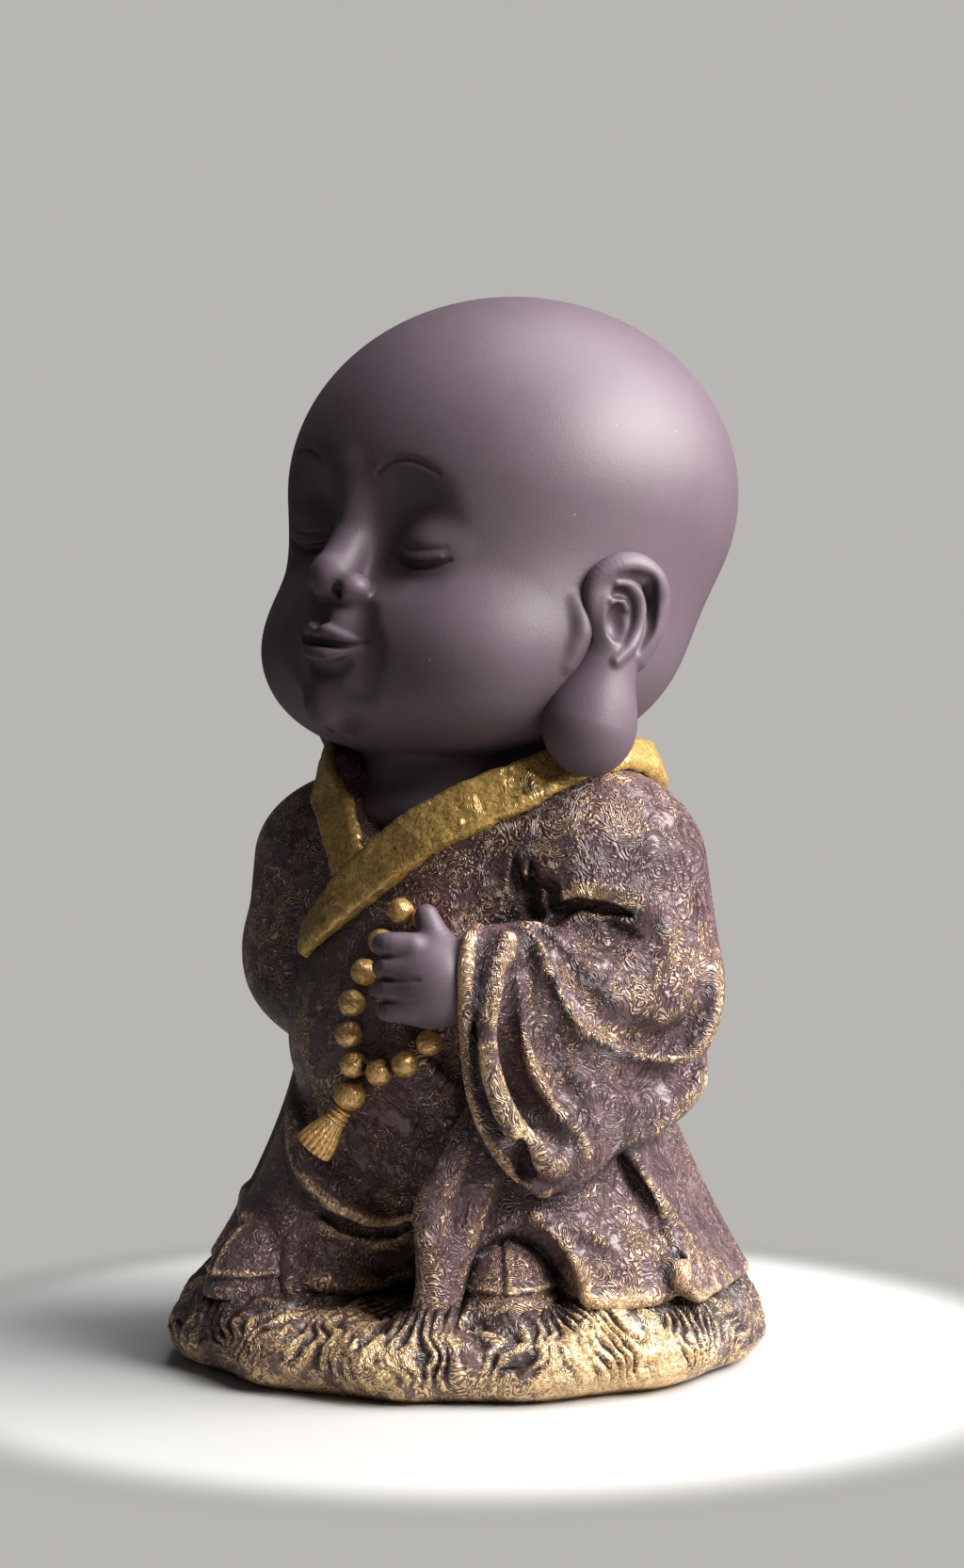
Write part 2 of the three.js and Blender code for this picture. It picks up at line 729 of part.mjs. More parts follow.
// Ear: a shell with a curled rim and a long plump lobe, all on the side of the head.
function earForm(back) {
  const side = (y, rise, out) => meet(plump, [80, y + back, rise], [-1, 0, 0], out);
  const lobeMiddle = [31.6, back - 4.2, EAR_TOP - EAR_LENGTH + LOBE_RADIUS + 0.8];
  const rim = coil(
    [
      side(-3, EAR_RISE - 1.5, 0.6),
      side(-3.2, EAR_TOP - 5, 1.4),
      side(-1.2, EAR_TOP - 2.4, 1.8),
      side(2.6, EAR_TOP - 2.8, 2.2),
      side(4.8, EAR_TOP - 7, 2.4),
      side(4.4, EAR_RISE - 4, 2.2),
      side(2.2, EAR_RISE - 9, 1.4),
    ],
    [1.4, 2, 2.2, 2.2, 2.1, 2.1, 2.4],
  );
  const bowl = join(
    3,
    ball(side(0.6, EAR_RISE + 1.5, -1.2), [3.6, 6, 8.5]),
    limb(side(0, EAR_RISE - 5, -1), lobeMiddle, 4.4, LOBE_RADIUS - 1.6),
    ball(lobeMiddle, [5.4, LOBE_RADIUS, LOBE_RADIUS + 0.8], -0.5),
  );
  const inner = coil(
    [side(0.4, EAR_RISE + 5.4, 1.2), side(2.2, EAR_RISE + 1, 1.6), side(0.8, EAR_RISE - 5, 1)],
    [1, 1.3, 1.2],
  );
  const hollow = ball(side(0.2, EAR_RISE + 1, 3), [3, 3.4, 6]);
  return join(0.8, carve(1, join(1.2, bowl, rim), hollow), inner);
}

// Mat with a lobed, rippled edge. Its underside is drawn in.
function matGeometry() {
  const profile = [
    [0, -MAT_HEIGHT],
    [MAT_RADIUS - 6, -MAT_HEIGHT],
    [MAT_RADIUS - 2.2, -MAT_HEIGHT + 1.4],
    [MAT_RADIUS - 0.2, -MAT_HEIGHT + 4.2],
    [MAT_RADIUS, -MAT_HEIGHT + 6.6],
    [MAT_RADIUS - 1.4, -MAT_HEIGHT + 9.4],
    [MAT_RADIUS - 4, -1.4],
    [MAT_RADIUS - 8.5, -SEAM],
    [0, -SEAM],
  ].map(([radius, rise]) => new THREE.Vector2(radius, rise));
  const columns = MAT_LOBES * 4;
  const mat = new THREE.LatheGeometry(profile, columns);
  mat.rotateX(Math.PI / 2);
  const place = mat.attributes.position;
  for (let i = 0; i < place.count; i += 1) {
    const [x, y] = [place.getX(i), place.getY(i)];
    const radius = Math.hypot(x, y);
    const angle = Math.atan2(y, x);
    const share = THREE.MathUtils.smoothstep(radius, MAT_RADIUS - 14, MAT_RADIUS - 3);
    const lobe = LOBE_DEPTH * Math.cos(MAT_LOBES * angle) + MAT_STRETCH * Math.sin(2 * angle);
    const scale = radius > 1 ? 1 + (share * lobe) / radius : 1;
    place.setXY(i, x * scale, y * scale);
  }
  return bare(mat);
}

// String of beads on the belly, in bead diameters across and up from the fist

const STRAND = [
  [-0.44, -1.56],
  [-0.81, -0.47],
  [-1.14, 0.7],
  [-1.51, 1.84],
  [-2.47, 2.07],
  [-2.93, 0.95],
  [-3.16, -0.16],
  [-3.26, -1.28],
  [-3.19, -2.4],
  [-3, -3.49],
  [-2.02, -3.74],
  [-1.09, -3.37],
  [-0.35, -2.58],
];
const GURU = [-3.28, -4.67];
const TASSEL_WAY = [-3, -2.4, -6.7];

const group = new THREE.Group();
group.position.z = MAT_HEIGHT;

function add(name, geometry, material) {
  geometry.computeVertexNormals();
  const mesh = new THREE.Mesh(geometry, material.clone());
  mesh.name = name;
  group.add(mesh);
}

// The skin of a form that lies within a reach of a middle point.
const skinAbout = (form, middle, reach, step) =>
  skin(
    form,
    middle.map((value, axis) => value - reach[axis]),
    middle.map((value, axis) => value + reach[axis]),
    step,
  );

const headMiddle = [0, 3, HEAD_SEAT + (CROWN_RISE + JOWL_RISE) / 2];
const headSkin = husk(raised(headForm(), HEAD_SEAT), headMiddle, 30, 36, 0.6, 0.62, 0.4);
function earSkin(side, back) {
  const form = side > 0 ? earForm(back) : mirrored(earForm(back));
  const middle = [(side * CROWN_WIDTH) / 2, back, HEAD_SEAT + EAR_TOP - EAR_LENGTH / 2];
  return skinAbout(raised(form, HEAD_SEAT), middle, [CROWN_WIDTH / 4, 18, EAR_LENGTH / 2 + 6], 2.6);
}
const leftEarSkin = earSkin(1, 0);
const rightEarSkin = earSkin(-1, RIGHT_EAR_BACK);
const robeSkin = husk(robeForm, [0, 2, (BELLY_RISE + CHEST_RISE) / 2], 24, 34, 0, 0.2, 0.35);
const FAR = 2 * MAT_RADIUS;
const ground = box([-FAR, -FAR, -FAR], [FAR, FAR, 0]);
const underRobeSkin = cut(husk(underRobeForm, [2, -8, 12], 14, 28), ground);
const coatSkin = coatGeometry();
const leftSleeveSkin = husk(leftSleeveForm, [SIDE + 1.5, -4, ELBOW_RISE - 7], 18, 26);
const rightSleeveSkin = husk(rightSleeveForm, [-SIDE - 5.5, 0, ELBOW_RISE], 12, 16);
const leftHandSkin = skinAbout(leftFist(), leftPalm, [15, 15, 15], 2.3);
const rightHandSkin = skinAbout(rightFist(), rightPalm, [10, 13, 17], 2.4);
const drapeMiddle = [(drapeTop[0] + drapeFoot[0]) / 2 + 2, (drapeTop[1] + drapeFoot[1]) / 2 + 2, 16];
const drapeSkin = cut(skinAbout(drapeForm, drapeMiddle, [10, 12, 22], 2.6), ground);
const shoeSkins = [
  [LEFT_TOE, THREE.MathUtils.degToRad(LEFT_TOE_OUT)],
  [RIGHT_TOE, THREE.MathUtils.degToRad(-RIGHT_TOE_OUT)],
].map(([toe, heading]) => {
  const middle = [toe[0] - 10 * Math.sin(heading), toe[1] + 10 * Math.cos(heading), 2];
  return cut(husk(shoeForm(toe, heading), middle, 12, 16), ground);
});

const onRobe = (x, rise, out = 0) => meet(robeForm, [x, -60, rise], [0, 1, 0], out);
const bandRadius = COLLAR_RADIUS + ROLL_RADIUS - 0.8;
const roundRoute = (marks) => marks.map(([turn, share]) => roundNeck(turn, share, bandRadius));
// A point on the chest, on a slanting line that passes the middle at a rise above the shoulders.
const lapel = (share, rise, slant) => onRobe(share * SIDE, SHOULDER_RISE + rise + slant * share * SIDE);
const outerRoute = [
  ...roundRoute([
    [1, 0.85],
    [29, 0.92],
    [64, 1.08],
    [92, 1.12],
    [121, 0.85],
  ]),
  ...[0.44, 0.04, -0.33, -0.53].map((share) => lapel(share, -4.1, 0.755)),
];
const innerRoute = [
  ...roundRoute([
    [-1, 0.85],
    [-27, 0.92],
    [-61, 1.08],
    [-92, 1.15],
    [-126, 1.08],
  ]),
  ...[-0.4, -0.25, -0.07].map((share) => lapel(share, -7.2, -1.39)),
];
const outerBand = strap(robeForm, outerRoute, BAND_WIDTH, BAND_THICKNESS + BAND_OVERLAP, 2 * SEAM, 14);
const innerBand = strap(robeForm, innerRoute, BAND_WIDTH, BAND_THICKNESS, 2 * SEAM, 12);

const fit = (geometry, ...neighbours) => cut(geometry, ...neighbours.map((n) => grown(n)));

const bead = (diameter) => new THREE.SphereGeometry(diameter / 2, 8, 6);
const fromFist = (diameter, across, up) =>
  onRobe(leftPalm[0] + across * BEAD_DIAMETER, FIST_RISE + up * BEAD_DIAMETER, diameter / 2 + SEAM);
const beads = STRAND.map((spot) => bead(BEAD_DIAMETER).translate(...fromFist(BEAD_DIAMETER, ...spot)));

// The strand ends in a larger bead, a cap and a tassel that hangs a little to the side.
function hung(geometry, from) {
  const down = new THREE.Vector3(...TASSEL_WAY).normalize();
  const turn = new THREE.Quaternion().setFromUnitVectors(new THREE.Vector3(0, -1, 0), down);
  return geometry.applyQuaternion(turn).translate(...from);
}
const lathe = (profile, segments) =>
  new THREE.LatheGeometry(profile.map(([r, y]) => new THREE.Vector2(r, y)), segments);
function tasselGeometry() {
  const tassel = lathe(
    [
      [0, -TASSEL_LENGTH],
      [TASSEL_RADIUS - 0.3, -TASSEL_LENGTH],
      [TASSEL_RADIUS, -TASSEL_LENGTH + 0.6],
      [TASSEL_RADIUS * 0.8, -TASSEL_LENGTH * 0.5],
      [CAP_RADIUS - 0.2, 0],
      [0, 0],
    ],
    16,
  );
  const place = tassel.attributes.position;
  for (let i = 0; i < place.count; i += 1) {
    const groove = 1 + THREAD_DEPTH * Math.cos(8 * Math.atan2(place.getZ(i), place.getX(i)));
    place.setXYZ(i, place.getX(i) * groove, place.getY(i), place.getZ(i) * groove);
  }
  return bare(tassel);
}
const guruPlace = fromFist(GURU_DIAMETER, ...GURU);
const below = (drop) => {
  const down = new THREE.Vector3(...TASSEL_WAY).normalize();
  return new THREE.Vector3(...guruPlace).addScaledVector(down, drop).toArray();
};
const capTop = GURU_DIAMETER / 2 + SEAM;
const guruBead = bead(GURU_DIAMETER).translate(...guruPlace);
const tasselCap = hung(
  lathe(
    [
      [0, -CAP_HEIGHT],
      [CAP_RADIUS, -CAP_HEIGHT],
      [CAP_RADIUS + 0.3, -CAP_HEIGHT / 2],
      [CAP_RADIUS - 0.4, 0],
      [0, 0],
    ],
    10,
  ),
  below(capTop),
);
const tassel = hung(tasselGeometry(), below(capTop + CAP_HEIGHT + SEAM));

// Where two pieces meet, the finer one gives way. A cut is made with the neighbour's whole form.
const robe = fit(robeSkin, headSkin);
const leftHand = fit(leftHandSkin, robeSkin, ...beads);
const rightHand = fit(rightHandSkin, robeSkin, coatSkin);
const leftSleeve = fit(leftSleeveSkin, robeSkin, leftHandSkin);
const rightSleeve = fit(rightSleeveSkin, robeSkin, rightHandSkin);
const underRobe = fit(underRobeSkin, robeSkin, leftSleeveSkin, rightHandSkin, ...shoeSkins);
const coat = fit(coatSkin, robeSkin, underRobeSkin, leftSleeveSkin, rightSleeveSkin, ...shoeSkins);
const drape = fit(drapeSkin, robeSkin, underRobeSkin, shoeSkins[0], leftSleeveSkin);
const leftBand = fit(outerBand, robeSkin, headSkin, leftEarSkin);
const rightBand = fit(innerBand, robeSkin, outerBand, headSkin, rightEarSkin);

add("base_mat", matGeometry(), STRAW);
add("under_robe", underRobe, ROBE_GLAZE);
add("robe_body", robe, ROBE_GLAZE);
add("coat_skirt", coat, ROBE_GLAZE);
add("front_drape", drape, ROBE_GLAZE);
add("left_sleeve", leftSleeve, ROBE_GLAZE);
add("right_sleeve", rightSleeve, ROBE_GLAZE);
add("left_hand", leftHand, CLAY);
add("right_hand", rightHand, CLAY);
add("left_shoe", shoeSkins[0], ROBE_GLAZE);
add("right_shoe", shoeSkins[1], ROBE_GLAZE);
add("left_collar_band", leftBand, GOLD);
add("right_collar_band", rightBand, GOLD);
add("head", headSkin, CLAY);
add("left_ear", fit(leftEarSkin, headSkin, robeSkin), CLAY);
add("right_ear", fit(rightEarSkin, headSkin, robeSkin), CLAY);
beads.forEach((b, i) => {
  add("bead_" + String(i + 1).padStart(2, "0"), fit(b, robeSkin, leftSleeveSkin), GOLD);
});
add("guru_bead", guruBead, GOLD);
add("tassel_cap", tasselCap, GOLD);
add("tassel", fit(tassel, robeSkin, underRobeSkin), GOLD);

export default group;
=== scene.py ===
"""Dresses the packed clay monk figurine: fine clay forms, brushed gold, and plain studio light."""

import math

import bpy
import numpy as np
from mathutils import Matrix, Vector


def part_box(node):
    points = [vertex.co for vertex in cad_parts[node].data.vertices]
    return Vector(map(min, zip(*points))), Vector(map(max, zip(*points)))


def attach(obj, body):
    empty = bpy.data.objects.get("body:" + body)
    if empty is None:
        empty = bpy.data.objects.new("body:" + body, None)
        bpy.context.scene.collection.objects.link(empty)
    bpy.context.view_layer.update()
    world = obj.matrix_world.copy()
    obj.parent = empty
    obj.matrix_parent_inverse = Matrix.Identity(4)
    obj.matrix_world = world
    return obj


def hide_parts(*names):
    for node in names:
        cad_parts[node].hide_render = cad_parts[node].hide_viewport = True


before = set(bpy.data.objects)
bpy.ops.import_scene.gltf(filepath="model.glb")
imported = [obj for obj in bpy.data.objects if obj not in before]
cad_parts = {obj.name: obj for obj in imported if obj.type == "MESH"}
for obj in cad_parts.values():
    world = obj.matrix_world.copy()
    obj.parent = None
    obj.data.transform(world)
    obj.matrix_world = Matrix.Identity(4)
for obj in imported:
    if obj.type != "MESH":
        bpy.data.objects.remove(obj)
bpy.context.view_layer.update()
scene = bpy.context.scene

# Sizes, in millimetres. Heights are above the mat's top, and those of the head above its seat.

MM = 0.001
SEAM = 0.3


def corners(node):
    """Lowest and highest corner of a CAD node, in millimetres."""
    low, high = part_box(node)
    return np.array(low) / MM, np.array(high) / MM


def add(name, data):
    """Puts a new object in the scene."""
    thing = bpy.data.objects.new(name, data)
    scene.collection.objects.link(thing)
    return thing


MAT_TOP = corners("base_mat")[1][2] + SEAM
BELLY_WIDTH = 55
BELLY_DEPTH = 54
SIDE = BELLY_WIDTH / 2
FRONT = -BELLY_DEPTH / 2
SHOULDER_RISE = 71
SHOULDER_RADIUS = 14.5
ELBOW_RISE = 50
FIST_RISE = 53.5
FINGER_RADIUS = 2.35
HEAD_HEIGHT = 77.5
HEAD_SEAT = corners("head")[1][2] - MAT_TOP - HEAD_HEIGHT
EYE_RISE = 33.4
NOSE_RISE = 30
MOUTH_RISE = 18.9
CHIN_RISE = 9.8
EAR_TOP = 34
EAR_LENGTH = 35.5
LOBE_RADIUS = 7.4
RIGHT_EAR_BACK = 8
LEFT_TOE = (29.5, -22.5)
RIGHT_TOE = (-14, -44)
LEFT_HEADING = math.radians(48)
RIGHT_HEADING = math.radians(-4)
HALF_SHOE = 12
QUARTER = math.pi / 4

# Clay forms: functions of points in millimetres, under 0 inside the clay and over 0 outside it


def lengths(vectors):
    return np.sqrt(np.einsum("ij,ij->i", vectors, vectors))


def ball(middle, radii, turn=0.0):
    """An ellipsoid, turned about the vertical."""
    middle = np.array(middle, np.float32)
    radii = np.array(np.broadcast_to(radii, 3), np.float32)
    cosine, sine = math.cos(turn), math.sin(turn)

    def form(points):
        p = points - middle
        if turn:
            p = np.stack([cosine * p[:, 0] + sine * p[:, 1], cosine * p[:, 1] - sine * p[:, 0], p[:, 2]], 1)
        near = lengths(p / radii)
        steep = lengths(p / radii**2)
        return near * (near - 1) / np.maximum(steep, 1e-6)

    return form


def limb(start, end, start_radius, end_radius=None):
    """A round rod with two radii."""
    start = np.array(start, np.float32)
    run = np.array(end, np.float32) - start
    swell = 0.0 if end_radius is None else end_radius - start_radius
    length2 = float(run @ run)

    def form(points):
        p = points - start
        t = np.clip(p @ run / length2, 0, 1)
        return lengths(p - t[:, None] * run) - start_radius - swell * t

    return form


def smooth_line(points, steps):
    """Points along a Catmull-Rom curve, with as many steps between two given points."""
    points = np.array(points, float)
    ends = np.vstack([2 * points[0] - points[1], points, 2 * points[-1] - points[-2]])
    line = []
    for before, a, b, after in zip(ends, ends[1:], ends[2:], ends[3:]):
        for t in np.arange(steps) / steps:
            rise = 2 * before - 5 * a + 4 * b - after
            bend = 3 * a - before - 3 * b + after
            line.append((2 * a + (b - before) * t + rise * t * t + bend * t**3) / 2)
    return np.array([*line, points[-1]])


def coil(points, radii, steps=4):
    """A coil of clay rolled along a smooth line. Far from it only a rough distance is worked out."""
    line = smooth_line(points, steps)
    widths = np.interp(np.linspace(0, 1, len(line)), np.linspace(0, 1, len(radii)), radii)
    rods = [limb(*pair) for pair in zip(line, line[1:], widths, widths[1:])]
    middle = (line.min(0) + line.max(0)) / 2
    reach = lengths(line - middle).max() + max(radii)
    margin = 8.0

    def form(points):
        rough = lengths(points - middle.astype(np.float32)) - reach
        near = rough < margin
        close = points[near]
        if len(close):
            value = rods[0](close)
            for rod in rods[1:]:
                value = np.minimum(value, rod(close))
            rough[near] = value
        return rough

    return form


def blend(a, b, soft):
    h = np.maximum(soft - np.abs(a - b), 0) / soft
    return np.minimum(a, b) - h * h * soft / 4


def join(soft, *forms):
    """Forms pressed together, with joints as soft as given."""

    def form(points):
        value = forms[0](points)
        for other in forms[1:]:
            value = blend(value, other(points), soft)
        return value

    return form


def carve(soft, body, *tools):
    """A form with others taken out of it."""

    def form(points):
        value = body(points)
        for tool in tools:
            value = -blend(-value, tool(points), soft)
        return value

    return form


def on_both_sides(form):
    return lambda points: form(np.column_stack([np.abs(points[:, 0]), points[:, 1:]]))


def mirrored(form):
    return lambda points: form(points * np.float32([-1, 1, 1]))


TOUCHING = 0.005
LONGEST_WALK = 120


def meet(form, start, along, out=0.0):
    """Where a line from a point meets a form or passes nearest to it, moved back by a distance out."""
    along = np.array(along, float) / np.linalg.norm(along)
    place = np.array(start, float)
    best, nearest = place, math.inf
    for _ in range(LONGEST_WALK):
        value = float(form(place[None].astype(np.float32))[0])
        if value < nearest:
            best, nearest = place, value
        if value < TOUCHING or value > nearest + 3:
            break
        place = place + along * max(value * 0.7, 0.02)
    return best - along * out


def at(across, toward, rise):
    """A place by how far it lies across, toward the viewer and up, seen from the figure's left front."""
    return [(across + toward) * math.sqrt(0.5), (across - toward) * math.sqrt(0.5), rise]


def laid(marks, radii):
    """A coil through marks (across, toward, rise)."""
    return coil([at(*mark) for mark in marks], radii)


VIEWER_AWAY = 90


def fold(form, marks, radius, out, thin):
    """A coil along marks (across, rise), which are seen on a form from its left front, with thinner ends."""
    line = [meet(form, at(across, VIEWER_AWAY, rise), at(0, -1, 0), out) for across, rise in marks]
    return coil(line, [radius * thin, radius, radius, radius, radius * thin])


def ridge(form, marks, radius, proud):
    return fold(form, marks, radius, proud - radius, 0.5)


def groove(form, marks, radius, depth):
    return fold(form, marks, radius, radius - depth, 0.4)


# Robe

belly = ball([0, -3.5, 41], [SIDE, -FRONT, 25])
chest = ball([0, 2.5, 63], [28, 24, 21])
shoulders = coil(
    [[-23, 3, SHOULDER_RISE - 1], [0, 8, SHOULDER_RISE], [23, 3, SHOULDER_RISE - 1]],
    [SHOULDER_RADIUS, SHOULDER_RADIUS],
)
left_arm = limb([SIDE + 1, 6, SHOULDER_RISE - 2.5], [SIDE + 3.5, 7.5, ELBOW_RISE], 14.3)
right_arm = limb([-SIDE - 3, -4, SHOULDER_RISE - 3], [-SIDE - 5.5, -4, ELBOW_RISE], 12.4)
COLLAR_RADIUS = 23.4
COLLAR_BACK = 5
ROLL_RADIUS = 4.4
# Degrees round the neck from its back, and rise above the shoulders
COLLAR_ROLL = [
    (-173, -3), (-155, 6), (-140, 11.5), (-100, 13), (-50, 12), (0, 11), (50, 12), (95, 12.5),
    (125, 9.5), (157, 3), (187, -5),
]


def round_neck(turn, rise):
    """A point round the neck, by its degrees from the back and its rise above the shoulders."""
    x, y = COLLAR_RADIUS * math.sin(math.radians(turn)), COLLAR_RADIUS * math.cos(math.radians(turn))
    return [x, COLLAR_BACK + y, SHOULDER_RISE + rise]


collar_roll = coil([round_neck(*mark) for mark in COLLAR_ROLL], [ROLL_RADIUS, ROLL_RADIUS])
torso = join(4, join(8, belly, chest, shoulders, left_arm, right_arm), collar_roll)
legs = join(
    9,
    limb([6, -3, 28], [LEFT_TOE[0] - 10.5, LEFT_TOE[1] + 16.5, 8], 20, 15.5),
    limb([-5, -6, 28], [RIGHT_TOE[0] + 2, RIGHT_TOE[1] + 24, 8], 20, 15),
    limb([8, 2, 26], [29, 1, 5], 18, 13),
    limb([-8, 0, 26], [-27, -10, 5], 18, 13),
)

# Sleeves

left_wrist = np.array([SIDE - 2.5, FRONT + 8.5, FIST_RISE - 0.5])
left_tip = np.array([SIDE + 4, FRONT + 15.5, FIST_RISE - 27.5])
left_sleeve = join(
    6,
    limb([SIDE + 4.5, 8, ELBOW_RISE], left_wrist, 12.5, 8),
    limb([SIDE - 2, FRONT + 10, FIST_RISE - 5], left_tip, 6.5, 5.5),
    limb(left_tip, [SIDE + 4, 9.5, ELBOW_RISE - 16], 5.8, 8),
    ball([SIDE + 3, -3, ELBOW_RISE - 8], [9, 14, 12]),
)
right_sleeve = join(
    6,
    limb([-SIDE - 5.5, -5, ELBOW_RISE + 3], [-SIDE - 6, 2, ELBOW_RISE - 5], 12, 10),
    limb([-SIDE - 6, 0, ELBOW_RISE - 4], [-SIDE - 6.5, 5, ELBOW_RISE - 8], 10.5, 8.5),
)

# Head, in heights above its seat

skull = join(12, ball([0, 10.8, 44.6], [37.7, 37.9, 32.9]), ball([0, 1, 19.2], [34, 33.2, 20.7]))
cheeks = on_both_sides(ball([14.5, -13, 17.5], [13.2, 13.4, 12.2]))
plump = join(6, skull, cheeks)

# Coat, hanging end and shoes

COAT_TOP = 45
COAT_LEFT_EDGE = math.radians(2)
COAT_RIGHT_EDGE = math.radians(217)
COAT_THICKNESS = 4.5
COAT_TOP_RADIUS = 28.5
COAT_FLARE = 17


def rounded(a, b, radius):
    """Inside both of two bounds, with the edge between them rounded."""
    a, b = a + radius, b + radius
    return np.hypot(np.maximum(a, 0), np.maximum(b, 0)) + np.minimum(np.maximum(a, b), 0) - radius


def coat(points):
    """A sheet round the back that flares to the hem and stands out at its two front edges."""
    x, y, z = points[:, 0], points[:, 1] - 1, points[:, 2]
    turn = np.mod(np.arctan2(y, x) + np.pi / 2, 2 * np.pi) - np.pi / 2
    radius = np.hypot(x, y)
    fall = np.clip(1 - z / COAT_TOP, 0, 1)
    edge = np.minimum(turn - COAT_LEFT_EDGE, COAT_RIGHT_EDGE - turn)
    folds = 1.2 * fall * np.cos(9 * turn) + 0.6 * fall * np.cos(14 * turn + 1)
    tip = 2.4 * fall**3 * np.exp(-20 * np.minimum(edge, 1) ** 2)
    outer = COAT_TOP_RADIUS + COAT_FLARE * fall**1.5 + folds + tip
    across = np.abs(radius - outer + COAT_THICKNESS / 2) * 0.87 - COAT_THICKNESS / 2
    front = rounded(-edge * radius, 0.2 - z, 6)
    return np.maximum(rounded(across, front, 1.8), z - COAT_TOP).astype(np.float32)


drape = join(
    2.5,
    laid(
        [
            (4.6, 29, 35), (1, 30.4, 29), (-2.6, 32, 22), (-5.2, 33.2, 16),
            (-5, 33.4, 10), (-5.2, 33.6, 4), (-6.2, 34, -2),
        ],
        [2.2, 2.4, 2.7, 3, 2.8, 2.6, 3],
    ),
    laid(
        [(6.4, 28.4, 32), (3.8, 30, 24), (1, 31.2, 16), (-1, 32, 9), (-2.8, 33, 1)],
        [2, 2.5, 2.4, 2.1, 1.9],
    ),
)


def shoe_line(toe, heading):
    """The way that a shoe points, and the middle of its length."""
    way = np.array([math.sin(heading), -math.cos(heading)])
    return way, np.array(toe) - way * HALF_SHOE


def stripe(place, middle, width):
    """1 along the middle of a line of the given width, and 0 away from it."""
    return np.exp(-(((place - middle) / width) ** 2))


def shoe(toe, heading, wide):
    """A cloth shoe with a sole band, a welt above it and a seam over the toes."""
    way, middle = shoe_line(toe, heading)
    side = np.array([way[1], -way[0]])
    upper_part = ball([*middle, 1.2], [wide - 0.5, HALF_SHOE, 10.8], heading)
    sole = ball([*middle, 0.2], [wide, HALF_SHOE + 0.3, 4.4], heading)

    def form(points):
        across = (points[:, :2] - middle) @ side
        along = (points[:, :2] - middle) @ way
        rise = points[:, 2]
        value = blend(upper_part(points), sole(points), 1)
        above_welt = 0.5 + 0.5 * np.tanh(3 * (rise - 3.5))
        seam = 0.3 * stripe(across, 0, 0.6) - 0.55 * stripe(across, 1, 0.4)
        side_seam = -0.4 * stripe(along, 3.2, 0.4)
        welt = 0.6 * stripe(rise, 3.1, 0.5) - 0.2 * stripe(rise, 4, 0.6)
        return value - (seam + side_seam) * above_welt + welt

    return form


left_shoe = shoe((LEFT_TOE[0] + 1.2, LEFT_TOE[1] + 1.2), LEFT_HEADING, 9.4)
right_shoe = shoe(RIGHT_TOE, RIGHT_HEADING, 8.3)
left_shoe_room = ball(at(7.6, 37, 1), [10.4, 11, 13.4], QUARTER)


def hem_over(toe, heading, wide, visible):
    """Cloth over the back of a shoe, that leaves its toes visible."""
    way, middle = shoe_line(toe, heading)
    cover = ball([*middle, 1.2], [wide, HALF_SHOE + 1, 12.2], heading)

    def form(points):
        past_hem = (points[:, :2] - toe) @ way + visible + 0.25 * np.maximum(points[:, 2] - 6, -4)
        return rounded(cover(points), past_hem, 1.2)

    return form


hems = join(1, hem_over(RIGHT_TOE, RIGHT_HEADING, 9.6, 9), hem_over(LEFT_TOE, LEFT_HEADING, 10, 8))

# Folds of the cloth, by marks (across, rise) on it

lower = join(1, torso, legs)
upper = join(1, torso, left_sleeve)

DOME_RIDGE = [
    (9.4, 60.1), (11.9, 59.3), (13.5, 56.1), (15.7, 51.5), (18.7, 47.8), (22.2, 44.4), (26.2, 41.3),
    (30.9, 39.5), (35, 40.4), (37.7, 44.1), (39, 48.6), (39.4, 52.4),
]
DOME_CREASE = [
    (12.4, 59.5), (15, 55.8), (17.2, 51.7), (20.2, 48.2), (23.7, 44.6), (27.8, 42.4), (31.3, 41.6),
    (34.3, 43.1), (36.6, 46.4), (37.8, 50.2),
]
CUFF_FOLD = [
    (7.7, 57.9), (8.6, 50.6), (9.1, 45.1), (10.6, 40.2), (12.5, 36.2), (15, 32.5), (17.2, 29.3),
    (18.4, 25.9),
]
CUFF_FOLD_TWO = [(10.4, 59.4), (11.3, 56.2), (13, 51.9), (15, 47.9), (17.2, 43.9), (19.7, 40.4)]
LIP_VALLEY = [(7.2, 54), (6.4, 47), (6.4, 40.6), (7.9, 35.6), (10.8, 31.3), (14, 27.8)]
CUFF_VALLEY = [(9.2, 58), (10.2, 52), (10.9, 47.1), (12.3, 42.1), (14.7, 37.2), (17.2, 33.1), (20, 29)]
CUFF_VALLEY_TWO = [(12.3, 51.9), (14.2, 46), (17.2, 41), (20.7, 36.8)]
UNDER_DOME = [(19.2, 41.4), (23.7, 38.1), (28.4, 36.1), (32.6, 35.8), (36, 37.2), (38, 40.5)]
ELBOW_FOLD = [(25, 27), (29, 29.2), (33.2, 32), (35.8, 35), (37.4, 38.8)]
ARM_CREASE = [(12.7, 60.6), (14.9, 63), (17.8, 64.3), (21.7, 63.6), (25.7, 62.6)]
ARM_RIDGE = [
    (14.4, 63.2), (17.3, 65.6), (20.8, 66.3), (24.7, 65.7), (27.7, 64.2), (30.2, 61.6), (31.5, 58.6),
    (31.2, 55.2),
]
ELBOW_CREASE = [(21.8, 61), (24.2, 60), (26.9, 58.9)]
ARMPIT = [(7.6, 70.5), (8, 67.3), (9.1, 64.3), (10.2, 62)]
ARMPIT_TWO = [(10.5, 70.3), (10.8, 66.4), (11, 63.3), (10.9, 60.6)]
ARMPIT_THREE = [(12.4, 67.4), (13.7, 65.8), (13.6, 63.2)]
